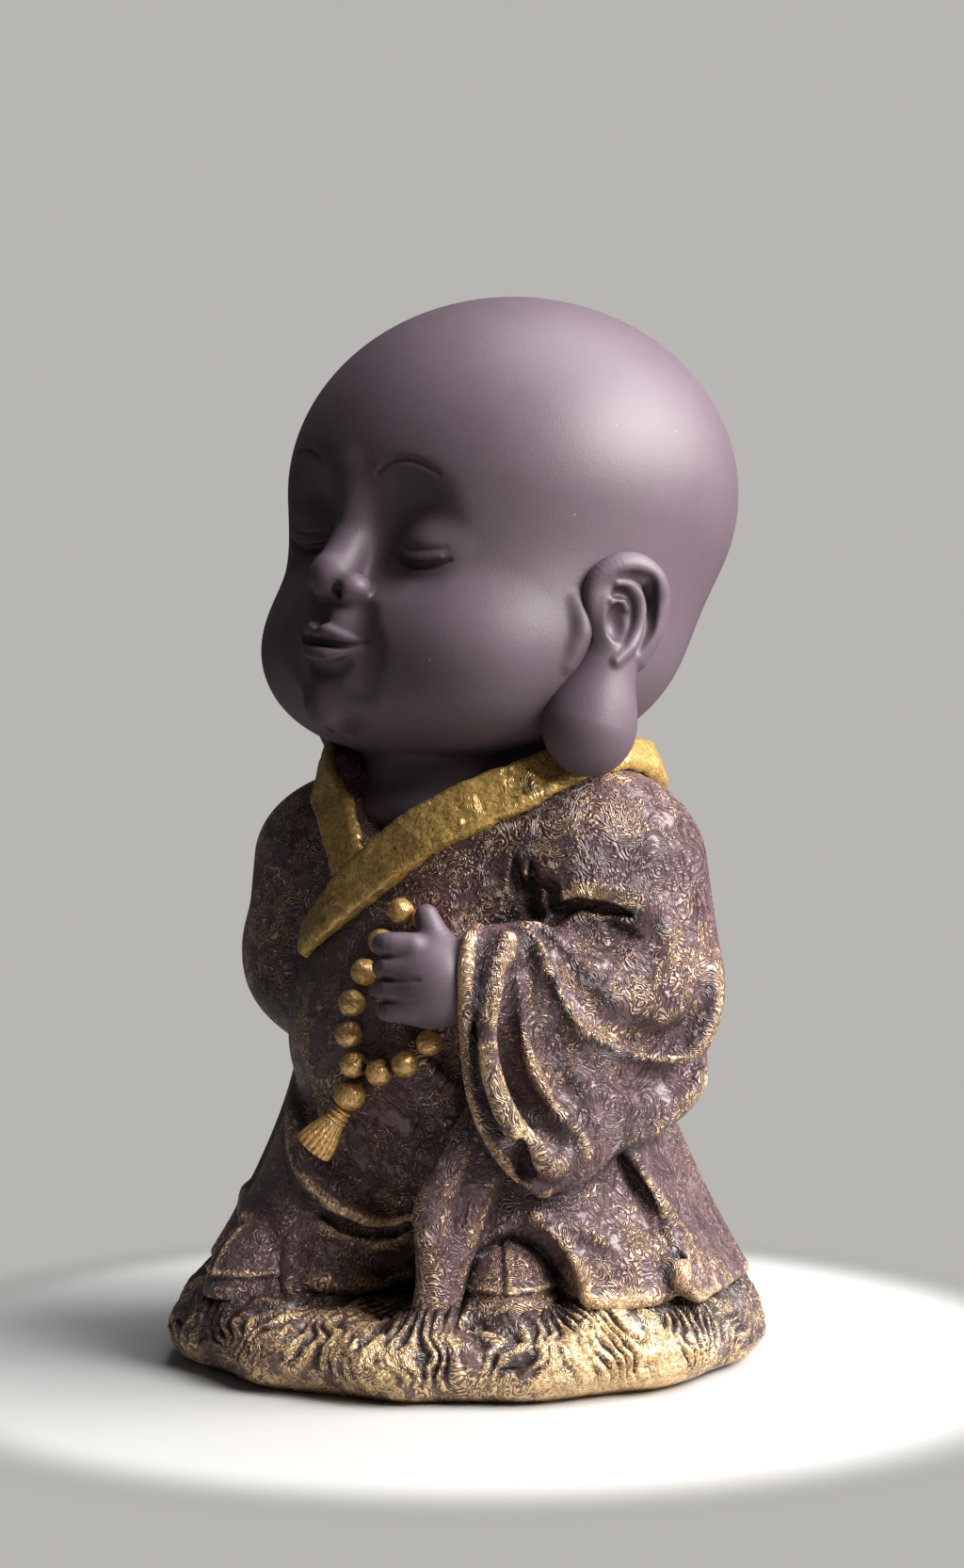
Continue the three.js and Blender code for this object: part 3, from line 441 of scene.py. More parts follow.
BELLY_HEM = [
    (-28.9, 31), (-28.4, 27.4), (-27.4, 23.3), (-25.5, 19.6), (-22.8, 16.8), (-19.5, 14.6),
    (-15.2, 12.9), (-11, 12.8), (-8, 14),
]
BELLY_FOOT = [
    (-26, 29), (-25.4, 24.5), (-23.4, 21.2), (-20.6, 18.8), (-17, 16.8), (-12.8, 15.4), (-8.4, 16),
]
SWAG = [(-22.8, 11.5), (-19.5, 10), (-15.7, 9), (-11.9, 9.5), (-9.1, 11.2)]
SWAG_VALLEY = [(-24, 13.8), (-20, 11.8), (-15.6, 10.8), (-11.6, 11.2), (-8.6, 12.6)]
LAP_HEM = [
    (-37.5, 11.8), (-36, 11.6), (-34, 9.8), (-32.8, 7), (-31.6, 5), (-29.1, 3.8), (-25.3, 2.9),
    (-21, 2.3), (-16.8, 2.1), (-13.1, 2.4), (-9.3, 3.4),
]
LAP_RECESS = [(-31.4, 1.5), (-28, 0.6), (-24, 0.1), (-20, -0.2), (-15, 0), (-10.5, 0.6)]
SIDE_HEM = [
    (11, 15), (14.4, 12.2), (16.4, 8.4), (18, 4.8), (19.6, 2.4), (23.8, 1.9), (28.4, 2.1), (32, 3),
    (34, 5.4), (34.4, 8.4),
]
SIDE_RECESS = [(17, 1.2), (21, 0.2), (26, 0), (31, 0.6)]
KNEE_FOLD = [(14, 14.2), (15.6, 13.6), (19.9, 12), (23, 9.5)]
COAT_GROOVE = [(24.4, 23), (25.4, 20.9), (27.3, 18.3), (29.7, 14), (32.2, 10), (34.6, 6.4)]
COAT_LIP = [(26.4, 22.6), (27.6, 20.4), (29.8, 16.6), (32.4, 12.6), (35, 8.6), (36.6, 5)]

far_rim = laid(
    [
        (1.6, 33.6, 60.2), (0.6, 37.2, 58.6), (0, 39.2, 55), (0, 39.6, 51.4), (0, 38.8, 47.6),
        (0.2, 37.4, 43.6), (0.6, 36.2, 38.4), (1.8, 35.4, 32.6), (4.4, 34.8, 27), (8, 34.6, 22.8),
        (12, 34.6, 20.4),
    ],
    [1.2, 1.3, 1.4, 1.4, 1.4, 1.3, 1.3, 1.3, 1.4, 1.6, 2],
)
near_rim = laid(
    [
        (6.4, 36.4, 59), (5.6, 38.2, 56), (4.4, 39.4, 52), (3.6, 39.2, 46), (3.6, 38.4, 40.4),
        (4.8, 38, 35.6), (6.8, 37.8, 31.6), (9.6, 37.6, 28), (13, 37, 24.6),
    ],
    [1.3, 1.9, 2.2, 2.2, 2.3, 2.4, 2.6, 2.8, 3],
)
pocket_back = laid(
    [(4, 31.5, 50), (4, 31.5, 40), (5.4, 32, 33), (9, 32, 26), (13, 32, 22)],
    [3, 3.4, 3, 2.8, 2.4],
)
opening_slit = laid(
    [(1.7, 39, 48), (1.9, 38.6, 42), (2.5, 38, 36), (3.9, 37.6, 31), (6.6, 37, 26.8), (9.8, 36.8, 24)],
    [0.6, 0.9, 1.1, 1.2, 1.4, 1.6],
)
opening_pocket = ball(at(8.6, 37, 26.2), [1.9, 3.2, 4.8], QUARTER)
skirts = join(1, lower, coat)

ridges = [
    ridge(upper, DOME_RIDGE, 2.6, 2),
    ridge(upper, CUFF_FOLD, 1.9, 1.4),
    ridge(upper, CUFF_FOLD_TWO, 2, 1.3),
    far_rim,
    near_rim,
    pocket_back,
    ridge(upper, ELBOW_FOLD, 3, 1),
    ridge(upper, ARM_RIDGE, 2.2, 1),
    ridge(lower, BELLY_HEM, 2, 2.2),
    ridge(lower, SWAG, 1.7, 1.5),
    ridge(lower, LAP_HEM, 2.2, 2.4),
    ridge(skirts, SIDE_HEM, 1.9, 1.9),
    ridge(lower, KNEE_FOLD, 1.6, 0.8),
    ridge(skirts, COAT_LIP, 1.6, 0.8),
]
grooves = [
    groove(upper, ARM_CREASE, 1.3, 2),
    groove(upper, ELBOW_CREASE, 1, 1.2),
    groove(upper, ARMPIT, 1.1, 1.5),
    groove(upper, ARMPIT_TWO, 1.2, 2.2),
    groove(upper, ARMPIT_THREE, 1, 1.4),
    opening_slit,
    opening_pocket,
    groove(lower, SWAG_VALLEY, 1.3, 1),
    groove(lower, LAP_RECESS, 2.1, 3),
    groove(lower, SIDE_RECESS, 1.8, 2.4),
    groove(skirts, COAT_GROOVE, 1.3, 1.4),
]
sleeve_mouth = coil(
    [left_wrist + [-9, -9, 2], left_wrist + [-7.6, -7.6, -8], left_tip + [-9, -9, 9]],
    [5.6, 4, 2.6],
)
soft_grooves = [
    groove(upper, DOME_CREASE, 2.4, 1.5),
    groove(upper, LIP_VALLEY, 1.9, 0.9),
    groove(upper, CUFF_VALLEY, 1.8, 1.1),
    groove(upper, CUFF_VALLEY_TWO, 1.8, 1.3),
    groove(upper, UNDER_DOME, 2.4, 1.2),
    groove(lower, BELLY_FOOT, 2.6, 2.4),
]
cloth = join(1.8, torso, legs, left_sleeve, right_sleeve, coat, drape, *ridges)
cloth = carve(1, carve(2.2, cloth, *soft_grooves), *grooves, sleeve_mouth, left_shoe_room)
cloth = join(1, cloth, drape, hems)


def standing(form):
    """A form cut off flat at the mat's top."""
    return lambda points: np.maximum(form(points), -points[:, 2])


def share(own, *others):
    """The part of the whole cloth that belongs to one piece, overlapping its neighbours a little."""

    def form(points):
        mine = own(points)
        theirs = others[0](points)
        for other in others[1:]:
            theirs = np.minimum(theirs, other(points))
        return np.maximum(cloth(points), (mine - theirs - 1) * 0.5)

    return standing(form)


# Hands


def left_fist():
    palm = join(
        3.5,
        ball(at(-6, 34.4, 52.3), [7, 5.2, 7], QUARTER),
        limb(at(-4, 33.6, 52), at(6, 31.6, 52), 5.9, 4.6),
    )
    fingers = []
    for rise, short in ((58.1, 0), (54.6, 0), (51.1, 0), (47.9, 0.6)):
        knuckle = [(-8.4, 36, rise), (-12 + short, 35.6, rise + 0.1)]
        end = [(-12.9 + short, 33.2, rise - 0.1), (-11.4, 30.6, rise - 0.3)]
        fingers.append(laid(knuckle + end, [2, 1.95, 1.85, 1.6]))
    thumb = laid([(-3.2, 33.6, 55.4), (-5.2, 33.3, 59.4), (-6.3, 32.8, 62.4)], [3.6, 2.5, 1.9])
    creases = [
        laid([(-12.9, 36.4, rise), (-10.4, 38.9, rise), (-7.4, 39.9, rise + 0.2)], [0.4, 0.5, 0.2])
        for rise in (56.4, 52.9, 49.5)
    ]
    return carve(0.4, join(1.2, palm, join(0.4, *fingers), thumb), *creases)


def right_fist():
    r = FINGER_RADIUS
    x, y, z = right_palm = [-SIDE - 7.5, 7, ELBOW_RISE - 21]
    fingers = []
    for n in range(4):
        along = y - 4.8 + n * 1.4 * r
        fingers.append(limb([x - 1.2, along, z - 1.5], [x - 1, along + 0.2, z - 4.5], r))
    return join(
        1.4,
        ball(right_palm, [4.6, 6.4, 5.4]),
        limb([x, y + 0.5, z], [x + 1, y - 2.5, z + 11], 4.6),
        join(0.5, *fingers),
        limb([x - 2, y - 4.4, z + 2], [x - 3, y - 4.6, z - 2.5], r),
    )


# Face, in heights above the head's seat

TILT = 0.12
BEFORE_FACE = -70
BESIDE_EAR = 80


def on_face(x, rise, out=0.0, skin=None):
    """A point on the face, out from its surface. The face sits a little lower on its left."""
    return meet(skin or plump, [x, BEFORE_FACE, rise - TILT * x], [0, 1, 0], out)


def both(make):
    """A form made for the left side of the face and again for the right."""
    left, right = make(1), make(-1)
    return lambda points: np.minimum(left(points), right(points))


def line_on_face(marks, radii, skin=None):
    """A coil through marks (x, rise, out) on the face."""
    return coil([on_face(*mark, skin) for mark in marks], radii)


def head_form():
    sockets = both(lambda s: ball(on_face(s * 13, EYE_RISE + 6.2, 3.7), [9.6, 6.2, 8.8]))
    inner_sockets = both(lambda s: ball(on_face(s * 6.6, EYE_RISE + 1.8, 3), [3.2, 4.4, 5.4]))
    lids = both(lambda s: ball(on_face(s * 13.2, EYE_RISE + 2.6, -8), [6.8, 7.5, 5.6]))
    muzzle = ball(on_face(0.4, MOUTH_RISE + 2, -6.2), [6.4, 7.2, 7.2])
    bridge = line_on_face([(0, 31, 1), (0, 34.6, -0.7), (0, 38.6, -2.3), (0, 47, -3)], [3.5, 3.1, 2.7, 2.6])
    tip = ball(on_face(0, NOSE_RISE, 1.3), [3.8, 3.7, 3.7])
    near_wing = ball(on_face(4.5, NOSE_RISE - 1.5, 0.1), [2.7, 2.9, 2.8])
    far_wing = ball(on_face(-3.7, NOSE_RISE - 1.4, -0.6), [2.4, 2.6, 2.4])
    chin = ball(on_face(-2.8, CHIN_RISE, -0.6), [4.4, 4, 5])
    neck = join(3, ball([0, 3, -1], [19.5, 19.5, 9]), ball([0, 1.5, -7.5], [21, 20.5, 7.5]))
    skin = carve(4.5, plump, sockets)
    skin = carve(6, skin, inner_sockets)
    skin = join(2.8, skin, lids)
    skin = join(3.4, join(2, skin, muzzle), chin)
    skin = join(0.9, join(3, skin, bridge), join(1.6, tip, near_wing, far_wing))

    def lines(marks, radii, form=None):
        """Coils on both sides of the face, through marks (x, rise, out) of its left side."""
        return both(lambda s: line_on_face([(s * x, *mark) for x, *mark in marks], radii, form or skin))

    valleys = lines(
        [(7.4, 25.4, 1.7), (8.2, 22.4, 1.7), (9.4, 19.8, 1.8), (8.4, 16, 1.9), (6.2, 12, 2)],
        [2, 2.3, 2.4, 2.4, 2],
    )
    skin = carve(2.5, skin, valleys)
    upper_marks = [(0, 21.2, 0), (1.6, 21.8, 0), (3.8, 21.2, -0.3), (6.8, 20.2, -0.7)]
    lower_marks = [(0, 17.8, 0.2), (2, 17.9, 0.2), (4, 18.5, -0.2), (6.4, 19.5, -0.7)]
    upper_lip = lines(upper_marks, [0.9, 1.15, 1, 0.6])
    lower_lip = lines(lower_marks, [1.5, 1.4, 1.1, 0.7])
    lips = join(0.5, skin, upper_lip, lower_lip)
    mouth_marks = [(0, 19.7, 0), (2.4, 19.6, 0), (4.9, 19.7, 0), (7.8, 20.6, 0)]
    opening = lines(mouth_marks, [0.55, 0.55, 0.5, 0.3], lips)
    philtrum = lines([(0, 25.4, 0.5), (0, 23.8, 0.4)], [0.8, 1.2])
    nostrils = join(
        0.3,
        ball(on_face(3.3, 28, 0, skin) + [0, 0.2, 0.2], [1.1, 1.5, 1.2]),
        ball(on_face(-2.4, 28, 0, skin) + [0, 0.2, -0.1], [0.9, 1.4, 1]),
    )
    under_lip = lines([(0, 15.3, 0.7), (2.8, 15.7, 0.7), (4.8, 16.8, 0.6)], [1.4, 1.2, 0.6])
    chin_marks = [(-8.6, 8.8), (-8, 6.6), (-6.8, 4.9), (-5, 4), (-3.2, 4.4), (-1.6, 5.9)]
    chin_crease = line_on_face([(*mark, 0.15) for mark in chin_marks], [0.3, 0.5, 0.6, 0.6, 0.5, 0.25], skin)
    slits = lines(
        [(6.4, 34.9, 0), (9.6, 34.1, 0), (13, 33.4, 0), (16, 33.6, 0), (19, 34.8, 0)],
        [0.35, 0.75, 0.85, 0.7, 0.25],
    )
    lid_edges = lines([(9.4, 35.1, -0.15), (13, 34.5, -0.1), (17.8, 35.1, -0.15)], [0.4, 0.55, 0.4])
    lid_creases = lines(
        [(8.4, 36.6, 0.1), (10.5, 36.3, 0.1), (13, 36, 0.1), (16, 36.2, 0.1), (18.6, 36.6, 0.1)],
        [0.25, 0.4, 0.45, 0.4, 0.25],
    )
    near_brow = [(5.8, 47), (7.8, 48.7), (10.5, 49.7), (13.4, 49.6), (16.8, 48.1)]
    far_brow = [(-8, 47.6), (-9.6, 48.8), (-12, 49.6), (-15, 49.6), (-17.6, 48.6)]
    brow_lines = [
        line_on_face([(*mark, 0.05) for mark in marks], [0.25, 0.45, 0.5, 0.45, 0.25], skin)
        for marks in (near_brow, far_brow)
    ]
    face = join(0.4, lips, lid_edges)
    face = carve(1.4, face, philtrum, under_lip)
    face = carve(0.5, face, chin_crease, nostrils, opening, slits)
    face = carve(0.35, face, lid_creases, *brow_lines)
    bumps = join(0.5, ear_bump(0), mirrored(ear_bump(RIGHT_EAR_BACK)))
    return join(2.5, join(1.6, face, bumps), neck)


def beside(back, y, rise, out=0.0, skin=None):
    """A point on the side of the head, out from its surface."""
    return meet(skin or plump, [BESIDE_EAR, y + back, rise], [-1, 0, 0], out)


def ear_bump(back):
    """The small flap of cheek in front of an ear."""
    marks = [(-7.7, 26, -0.7), (-7.4, 23.6, -0.2), (-7.4, 21.2, -0.1), (-8.2, 18.8, -0.4), (-9, 16.4, -0.8)]
    return coil([beside(back, *mark) for mark in marks], [0.9, 1.3, 1.5, 1.3, 0.9])


def ear_form(back):
    """A shell with a curled rim, two inner folds, a bowl and a long plump lobe."""

    def curl(marks, radii, skin=None):
        return coil([beside(back, *mark, skin) for mark in marks], radii)

    lobe_middle = [31.6, back - 4.2, EAR_TOP - EAR_LENGTH + LOBE_RADIUS + 0.8]
    shell = join(
        3,
        ball(beside(back, -0.8, 25.4, -0.6), [3.8, 6.4, 7.2]),
        limb(beside(back, -0.6, 21, -1.6), lobe_middle, 4.9, LOBE_RADIUS - 1),
        ball(lobe_middle, [5.4, LOBE_RADIUS, LOBE_RADIUS + 0.8], -0.5),
    )
    sunk = ball(beside(back, -1.6, 24.6, 0.9, shell), [2.6, 4.4, 6.4])
    rim = curl(
        [
            (-5.2, 22.4, 0.4), (-6.2, 25, 0.9), (-6, 28, 1.2), (-4.6, 30.3, 1.6), (-2, 31.6, 2),
            (1, 31.4, 2.4), (3.8, 29.6, 2.7), (5.3, 26.8, 2.8), (5, 23.6, 2.7), (3.8, 20.2, 2.3),
            (2, 17.2, 1.6),
        ],
        [0.9, 1.2, 1.5, 1.9, 2.2, 2.3, 2.2, 1.9, 1.8, 1.9, 2.2],
    )
    bed = join(0.8, carve(1.6, shell, sunk), rim)
    inner_fold = curl(
        [
            (-3, 28.8, 0), (-0.6, 28.6, 0.1), (1.2, 27, 0.2), (1.7, 24.4, 0.2),
            (0.9, 21.4, 0.2), (-1.2, 18.8, 0.1), (-4, 16.6, -0.2),
        ],
        [0.7, 1, 1.2, 1.3, 1.2, 1.1, 0.8],
        bed,
    )
    branch = curl([(-4.2, 26, 0), (-2.2, 26.2, 0), (-1, 25, -0.1)], [0.6, 0.8, 0.7], bed)
    bed = join(0.7, bed, inner_fold, branch)
    bowl = ball(beside(back, -3.1, 22.8, 0.4, bed), [2.4, 2, 2.9])
    upper_bowl = ball(beside(back, -2.6, 27.4, 0.5, bed), [1.4, 1.5, 0.9])
    rim_groove = curl(
        [
            (-3.6, 29.9, 0.5), (-1.2, 30, 0.3), (1.6, 29.2, 0.2), (3, 27.2, 0.2),
            (3.2, 24.6, 0.2), (2.4, 21.6, 0.2), (0.6, 18.6, 0.3),
        ],
        [0.4, 0.7, 0.9, 0.9, 0.9, 0.8, 0.4],
        bed,
    )
    foot_crease = curl([(-6.6, 20.2, 0.1), (-7.8, 18, 0.1), (-9.2, 15.8, 0.1)], [0.5, 0.6, 0.4], bed)
    return carve(0.9, bed, bowl, upper_bowl, rim_groove, foot_crease)


# Casting: the skin of a form becomes a mesh

FINE = 1.0
CHUNK = 200000
NET_MARGIN = 6


def sample(form, points):
    """Values of a form at many points, a chunk at a time."""
    points = points.astype(np.float32)
    return np.concatenate([form(points[n : n + CHUNK]) for n in range(0, len(points), CHUNK)])


def lattice(form, low, high, voxel):
    """Values of a form on a grid, worked out only in the blocks that its surface may pass through."""
    block = 4
    low = np.array(low, float) - 2 * voxel
    blocks = np.ceil((np.array(high) + 2 * voxel - low) / (block * voxel)).astype(int)
    spots = np.stack(np.meshgrid(*[np.arange(n) for n in blocks], indexing="ij"), -1)
    middles = low + (spots.reshape(-1, 3) + 0.5) * block * voxel
    coarse = sample(form, middles).reshape(blocks)
    values = coarse.repeat(block, 0).repeat(block, 1).repeat(block, 2)
    values = np.pad(values, ((0, 1),) * 3, mode="edge")
    near = np.abs(coarse) < block * voxel * 1.25 + voxel
    wanted = np.zeros(values.shape, bool)
    for spot in np.argwhere(near) * block:
        wanted[tuple(slice(first, first + block + 1) for first in spot)] = True
    places = np.argwhere(wanted)
    values[wanted] = sample(form, low + places * voxel)
    return low, values


def net(low, values, voxel):
    """One vertex in each cell that the surface passes through, and a face across each crossed edge."""
    inside = values < 0
    total = sum(
        inside[i : i - 1 or None, j : j - 1 or None, k : k - 1 or None].astype(np.int8)
        for i in (0, 1)
        for j in (0, 1)
        for k in (0, 1)
    )
    mixed = (total > 0) & (total < 8)
    cells = np.argwhere(mixed)
    number = np.full(mixed.shape, -1)
    number[mixed] = np.arange(len(cells))
    sums = np.zeros((len(cells), 3))
    hits = np.zeros(len(cells))
    faces = []
    for axis in range(3):
        u, v = (axis + 1) % 3, (axis + 2) % 3
        for du in (0, 1):
            for dv in (0, 1):
                start = cells.copy()
                start[:, u] += du
                start[:, v] += dv
                end = start.copy()
                end[:, axis] += 1
                a, b = values[tuple(start.T)], values[tuple(end.T)]
                crossed = (a < 0) != (b < 0)
                spot = start.astype(float)
                spot[:, axis] += np.where(crossed, a / np.where(crossed, a - b, 1), 0)
                sums += spot * crossed[:, None]
                hits += crossed
        step = np.eye(3, dtype=int)
        a = inside[tuple(slice(None, -1) if n == axis else slice(1, -1) for n in range(3))]
        b = inside[tuple(slice(1, None) if n == axis else slice(1, -1) for n in range(3))]
        starts = np.argwhere(a != b) + [0 if n == axis else 1 for n in range(3)]
        around = (step[u] + step[v], step[v], 0 * step[u], step[u])
        ring = np.stack([number[tuple((starts - shift).T)] for shift in around], 1)
        outward = inside[tuple(starts.T)]
        faces.append(np.where(outward[:, None], ring, ring[:, ::-1]))
    return low + sums / hits[:, None] * voxel, np.concatenate(faces)


FEELERS = np.array([(1, -1, -1), (-1, -1, 1), (-1, 1, -1), (1, 1, 1)], np.float32)


def feel(form, places, reach=0.06):
    """Value and slope of a form at places."""
    tips = [sample(form, places + reach * feeler) for feeler in FEELERS]
    slope = sum(tip[:, None] * feeler for tip, feeler in zip(tips, FEELERS)) / (4 * reach)
    return sum(tips) / 4, slope


def settle(form, places, most):
    """Moves places onto the skin of a form, by no more than most."""
    value, slope = feel(form, places)
    steep = np.maximum(np.einsum("ij,ij->i", slope, slope), 0.1)
    return places - np.clip(value / steep, -most, most)[:, None] * slope


def relax(places, faces):
    """Moves each vertex half way to the middle of its neighbours."""
    sums = np.zeros_like(places)
    counts = np.zeros(len(places))
    for a, b in ((0, 1), (1, 2), (2, 3), (3, 0)):
        for one, other in ((faces[:, a], faces[:, b]), (faces[:, b], faces[:, a])):
            for n in range(3):
                sums[:, n] += np.bincount(one, places[other, n], len(places))
            counts += np.bincount(one, minlength=len(places))
    return (places + sums / np.maximum(counts, 1)[:, None]) / 2


def smooth_faces(mesh):
    mesh.polygons.foreach_set("use_smooth", np.ones(len(mesh.polygons), bool))


def mesh_of(name, places, faces):
    """A smooth mesh of places in millimetres."""
    mesh = bpy.data.meshes.new(name)
    mesh.from_pydata((places * MM).tolist(), [], faces)
    smooth_faces(mesh)
    mesh.update()
    return mesh


def cast(form, low, high, voxel):
    """Places and faces of a form's skin between two corners."""
    voxel *= FINE
    places, faces = net(*lattice(form, low, high, voxel), voxel)
    places = settle(form, places, voxel / 2)
    places = relax(places, faces)
    places = settle(form, places, voxel / 2)
    return places, faces


def mark(mesh, label, values):
    """Writes a value from 0 to 2 at each vertex, for the finishes to read."""
    values = np.clip(values, 0, 2).astype(np.float32)
    mesh.attributes.new(label, "FLOAT", "POINT").data.foreach_set("value", values)


def evaluated(thing, name):
    """The mesh that an object's modifiers make."""
    bpy.context.view_layer.update()
    mesh = bpy.data.meshes.new_from_object(thing.evaluated_get(bpy.context.evaluated_depsgraph_get()))
    mesh.name = name
    bpy.data.objects.remove(thing)
    smooth_faces(mesh)
    return mesh


MOST_TRIANGLES = 190000


def thinned(mesh):
    """A mesh with too many faces, given fewer where its skin is smooth."""
    count = 2 * len(mesh.polygons)
    if count <= MOST_TRIANGLES:
        return mesh
    thing = add("thick_net", mesh)
    thing.modifiers.new("thin", "DECIMATE").ratio = MOST_TRIANGLES / count
    return evaluated(thing, mesh.name)


pieces = {}


def keep(node, mesh):
    """Puts a finished mesh in the scene for a CAD node."""
    pieces[node] = add(node + "_dressed", mesh)


HOLLOW_DEPTH = 1.3
RIDGE_REACH = 1.2


def piece(node, form, voxel, finish, rise=0.0, around=None):
    """Casts the piece that stands for a CAD node, with marks for its hollows and ridges."""
    low, high = corners(node)
    seat = np.array([0, 0, MAT_TOP + rise])
    places, faces = cast(form, low - NET_MARGIN - seat, high + NET_MARGIN - seat, voxel)
    mesh = mesh_of(node, places + [0, 0, rise + MAT_TOP], faces.tolist())
    around = around or form
    middle, slope = feel(around, places, RIDGE_REACH)
    bend = 2 * middle / RIDGE_REACH**2
    out = slope / np.maximum(lengths(slope), 1e-3)[:, None]
    # The hollow mark is high where the skin is sunk or close under a neighbouring part; the finishes darken
    # it there as painted shade and keep gold off it.
    mark(mesh, "hollow", 1 - sample(around, places + HOLLOW_DEPTH * out) / HOLLOW_DEPTH)
    mark(mesh, "ridge", 1.5 * (bend - 0.24))
    mesh = thinned(mesh)
    mesh.materials.append(finish)
    keep(node, mesh)


# Finishes. Shared effects are node groups that measure in millimetres


def place(tree, kind, values=None, **settings):
    """A shader node with its settings, its inputs set or linked."""
    node = tree.nodes.new(kind)
    for name, value in settings.items():
        setattr(node, name, value)
    for socket, value in (values or {}).items():
        if isinstance(value, bpy.types.NodeSocket):
            tree.links.new(value, node.inputs[socket])
        else:
            node.inputs[socket].default_value = value
    return node


def maths(tree, operation, a, b=0.0):
    return place(tree, "ShaderNodeMath", {0: a, 1: b}, operation=operation).outputs[0]


def between(tree, value, low, high):
    """0 where the value is low and 1 where it is high, with a soft step."""
    step = {"Value": value, "From Min": low, "From Max": high}
    return place(tree, "ShaderNodeMapRange", step, interpolation_type="SMOOTHSTEP").outputs["Result"]


def tint(tree, share, a, b):
    """One colour where the share is 0, and another where it is 1."""
    return place(tree, "ShaderNodeMix", {0: share, 6: a, 7: b}, data_type="RGBA").outputs[2]


def colour(red, green, blue):
    """A colour from its 0 to 255 screen values."""
    parts = [value / 255 for value in (red, green, blue)]
    return (*[p / 12.92 if p < 0.04 else ((p + 0.055) / 1.055) ** 2.4 for p in parts], 1)


def millimetres(tree):
    spot = place(tree, "ShaderNodeTexCoord").outputs["Object"]
    scaled = place(tree, "ShaderNodeVectorMath", {0: spot, "Scale": 1 / MM}, operation="SCALE")
    return scaled.outputs["Vector"]


def times(tree, a, b):
    return maths(tree, "MULTIPLY", a, b)


def plus(tree, *values):
    total = values[0]
    for value in values[1:]:
        total = maths(tree, "ADD", total, value)
    return total


def minus(tree, a, b):
    return maths(tree, "SUBTRACT", a, b)


def over(tree, a, b):
    return maths(tree, "DIVIDE", a, b)


def noise(tree, spot, width, detail=2.0, distortion=0.0):
    """Smooth noise whose hills are about as wide as width, a number or a socket."""
    socket = isinstance(width, bpy.types.NodeSocket)
    scale = over(tree, 0.6, width) if socket else 0.6 / width
    values = {"Vector": spot, "Scale": scale, "Detail": detail, "Distortion": distortion}
    return place(tree, "ShaderNodeTexNoise", values).outputs["Fac"]


def group(name, inputs, outputs):
    """An empty shader group with named number inputs, and named outputs."""
    tree = bpy.data.node_groups.new(name, "ShaderNodeTree")
    for label, value in inputs.items():
        socket = tree.interface.new_socket(label, in_out="INPUT", socket_type="NodeSocketFloat")
        socket.default_value = value
    for label in outputs:
        tree.interface.new_socket(label, in_out="OUTPUT", socket_type="NodeSocketFloat")
    return tree, place(tree, "NodeGroupInput").outputs, place(tree, "NodeGroupOutput").inputs


def crinkle_group():
    """Curling lines pressed in the clay, as on bark."""
    tree, given, result = group("crinkle", {"Spacing": 0.9, "Swirl Size": 6.0}, ["Height"])
    spot = millimetres(tree)
    swirl = noise(tree, spot, given["Swirl Size"], 2, 1.4)
    turns = over(tree, times(tree, given["Swirl Size"], 17), given["Spacing"])
    wander = times(tree, noise(tree, spot, 2.2, 2), 2.5)
    wander = plus(tree, wander, times(tree, noise(tree, spot, 0.8, 1), 1.6))
    phase = plus(tree, times(tree, swirl, turns), wander)
    wave = maths(tree, "ABSOLUTE", maths(tree, "SINE", phase))
    broken = between(tree, noise(tree, spot, 2.4, 2.5), 0.3, 0.5)
    line = times(tree, maths(tree, "POWER", wave, 1.5), broken)
    tree.links.new(plus(tree, line, times(tree, noise(tree, spot, 0.5, 3), 0.35)), result["Height"])
    return tree


def rubbed_gold_group():
    """Where gold paint has caught: on ridges and raised lines, in patches."""
    inputs = {"Height": 0.5, "Ridge": 0.0, "Hollow": 0.0, "Amount": 0.5}
    inputs |= {"Patch Size": 12.0, "Line Share": 0.6}
    tree, given, result = group("rubbed_gold", inputs, ["Gold"])
    spot = millimetres(tree)
    patches = noise(tree, spot, given["Patch Size"], 2.5, 0.6)
    area = times(tree, minus(tree, patches, 0.5), 4.6)
    level = plus(tree, area, given["Amount"], times(tree, given["Ridge"], 3.4))
    level = minus(tree, level, times(tree, given["Hollow"], 1.6))
    lines = times(tree, times(tree, minus(tree, given["Height"], 0.62), 2.2), given["Line Share"])
    fine = minus(tree, noise(tree, spot, 0.3, 2), 0.5)
    level = plus(tree, level, maths(tree, "MAXIMUM", lines, -0.8), times(tree, fine, 1.3))
    tree.links.new(between(tree, level, 0.42, 0.95), result["Gold"])
    return tree


def grain_group():
    """Fine grain of fired clay and soft differences in its shade."""
    tree, given, result = group("clay_grain", {"Grain": 0.3}, ["Height", "Shade"])
    spot = millimetres(tree)
    tree.links.new(noise(tree, spot, given["Grain"], 4), result["Height"])
    wide = times(tree, noise(tree, spot, 14, 3), 0.6)
    tree.links.new(plus(tree, wide, times(tree, noise(tree, spot, 2.5, 4), 0.4)), result["Shade"])
    return tree


def dust_group():
    """A few pale specks and faint short scuffs."""
    tree, given, result = group("dust", {"Speck Gap": 4.0, "Speck Size": 0.09}, ["Mask"])
    spot = millimetres(tree)
    cell_scale = over(tree, 1, given["Speck Gap"])
    cells = place(tree, "ShaderNodeTexVoronoi", {"Vector": spot, "Scale": cell_scale}).outputs["Distance"]
    dot = maths(tree, "LESS_THAN", cells, over(tree, given["Speck Size"], given["Speck Gap"]))
    scuff = between(tree, noise(tree, spot, 0.5, 5, 2), 0.7, 0.8)
    scuff = times(tree, scuff, between(tree, noise(tree, spot, 9, 1), 0.6, 0.75))
    tree.links.new(maths(tree, "MAXIMUM", dot, times(tree, scuff, 0.3)), result["Mask"])
    return tree


CRINKLE = crinkle_group()
RUBBED_GOLD = rubbed_gold_group()
GRAIN = grain_group()
DUST = dust_group()


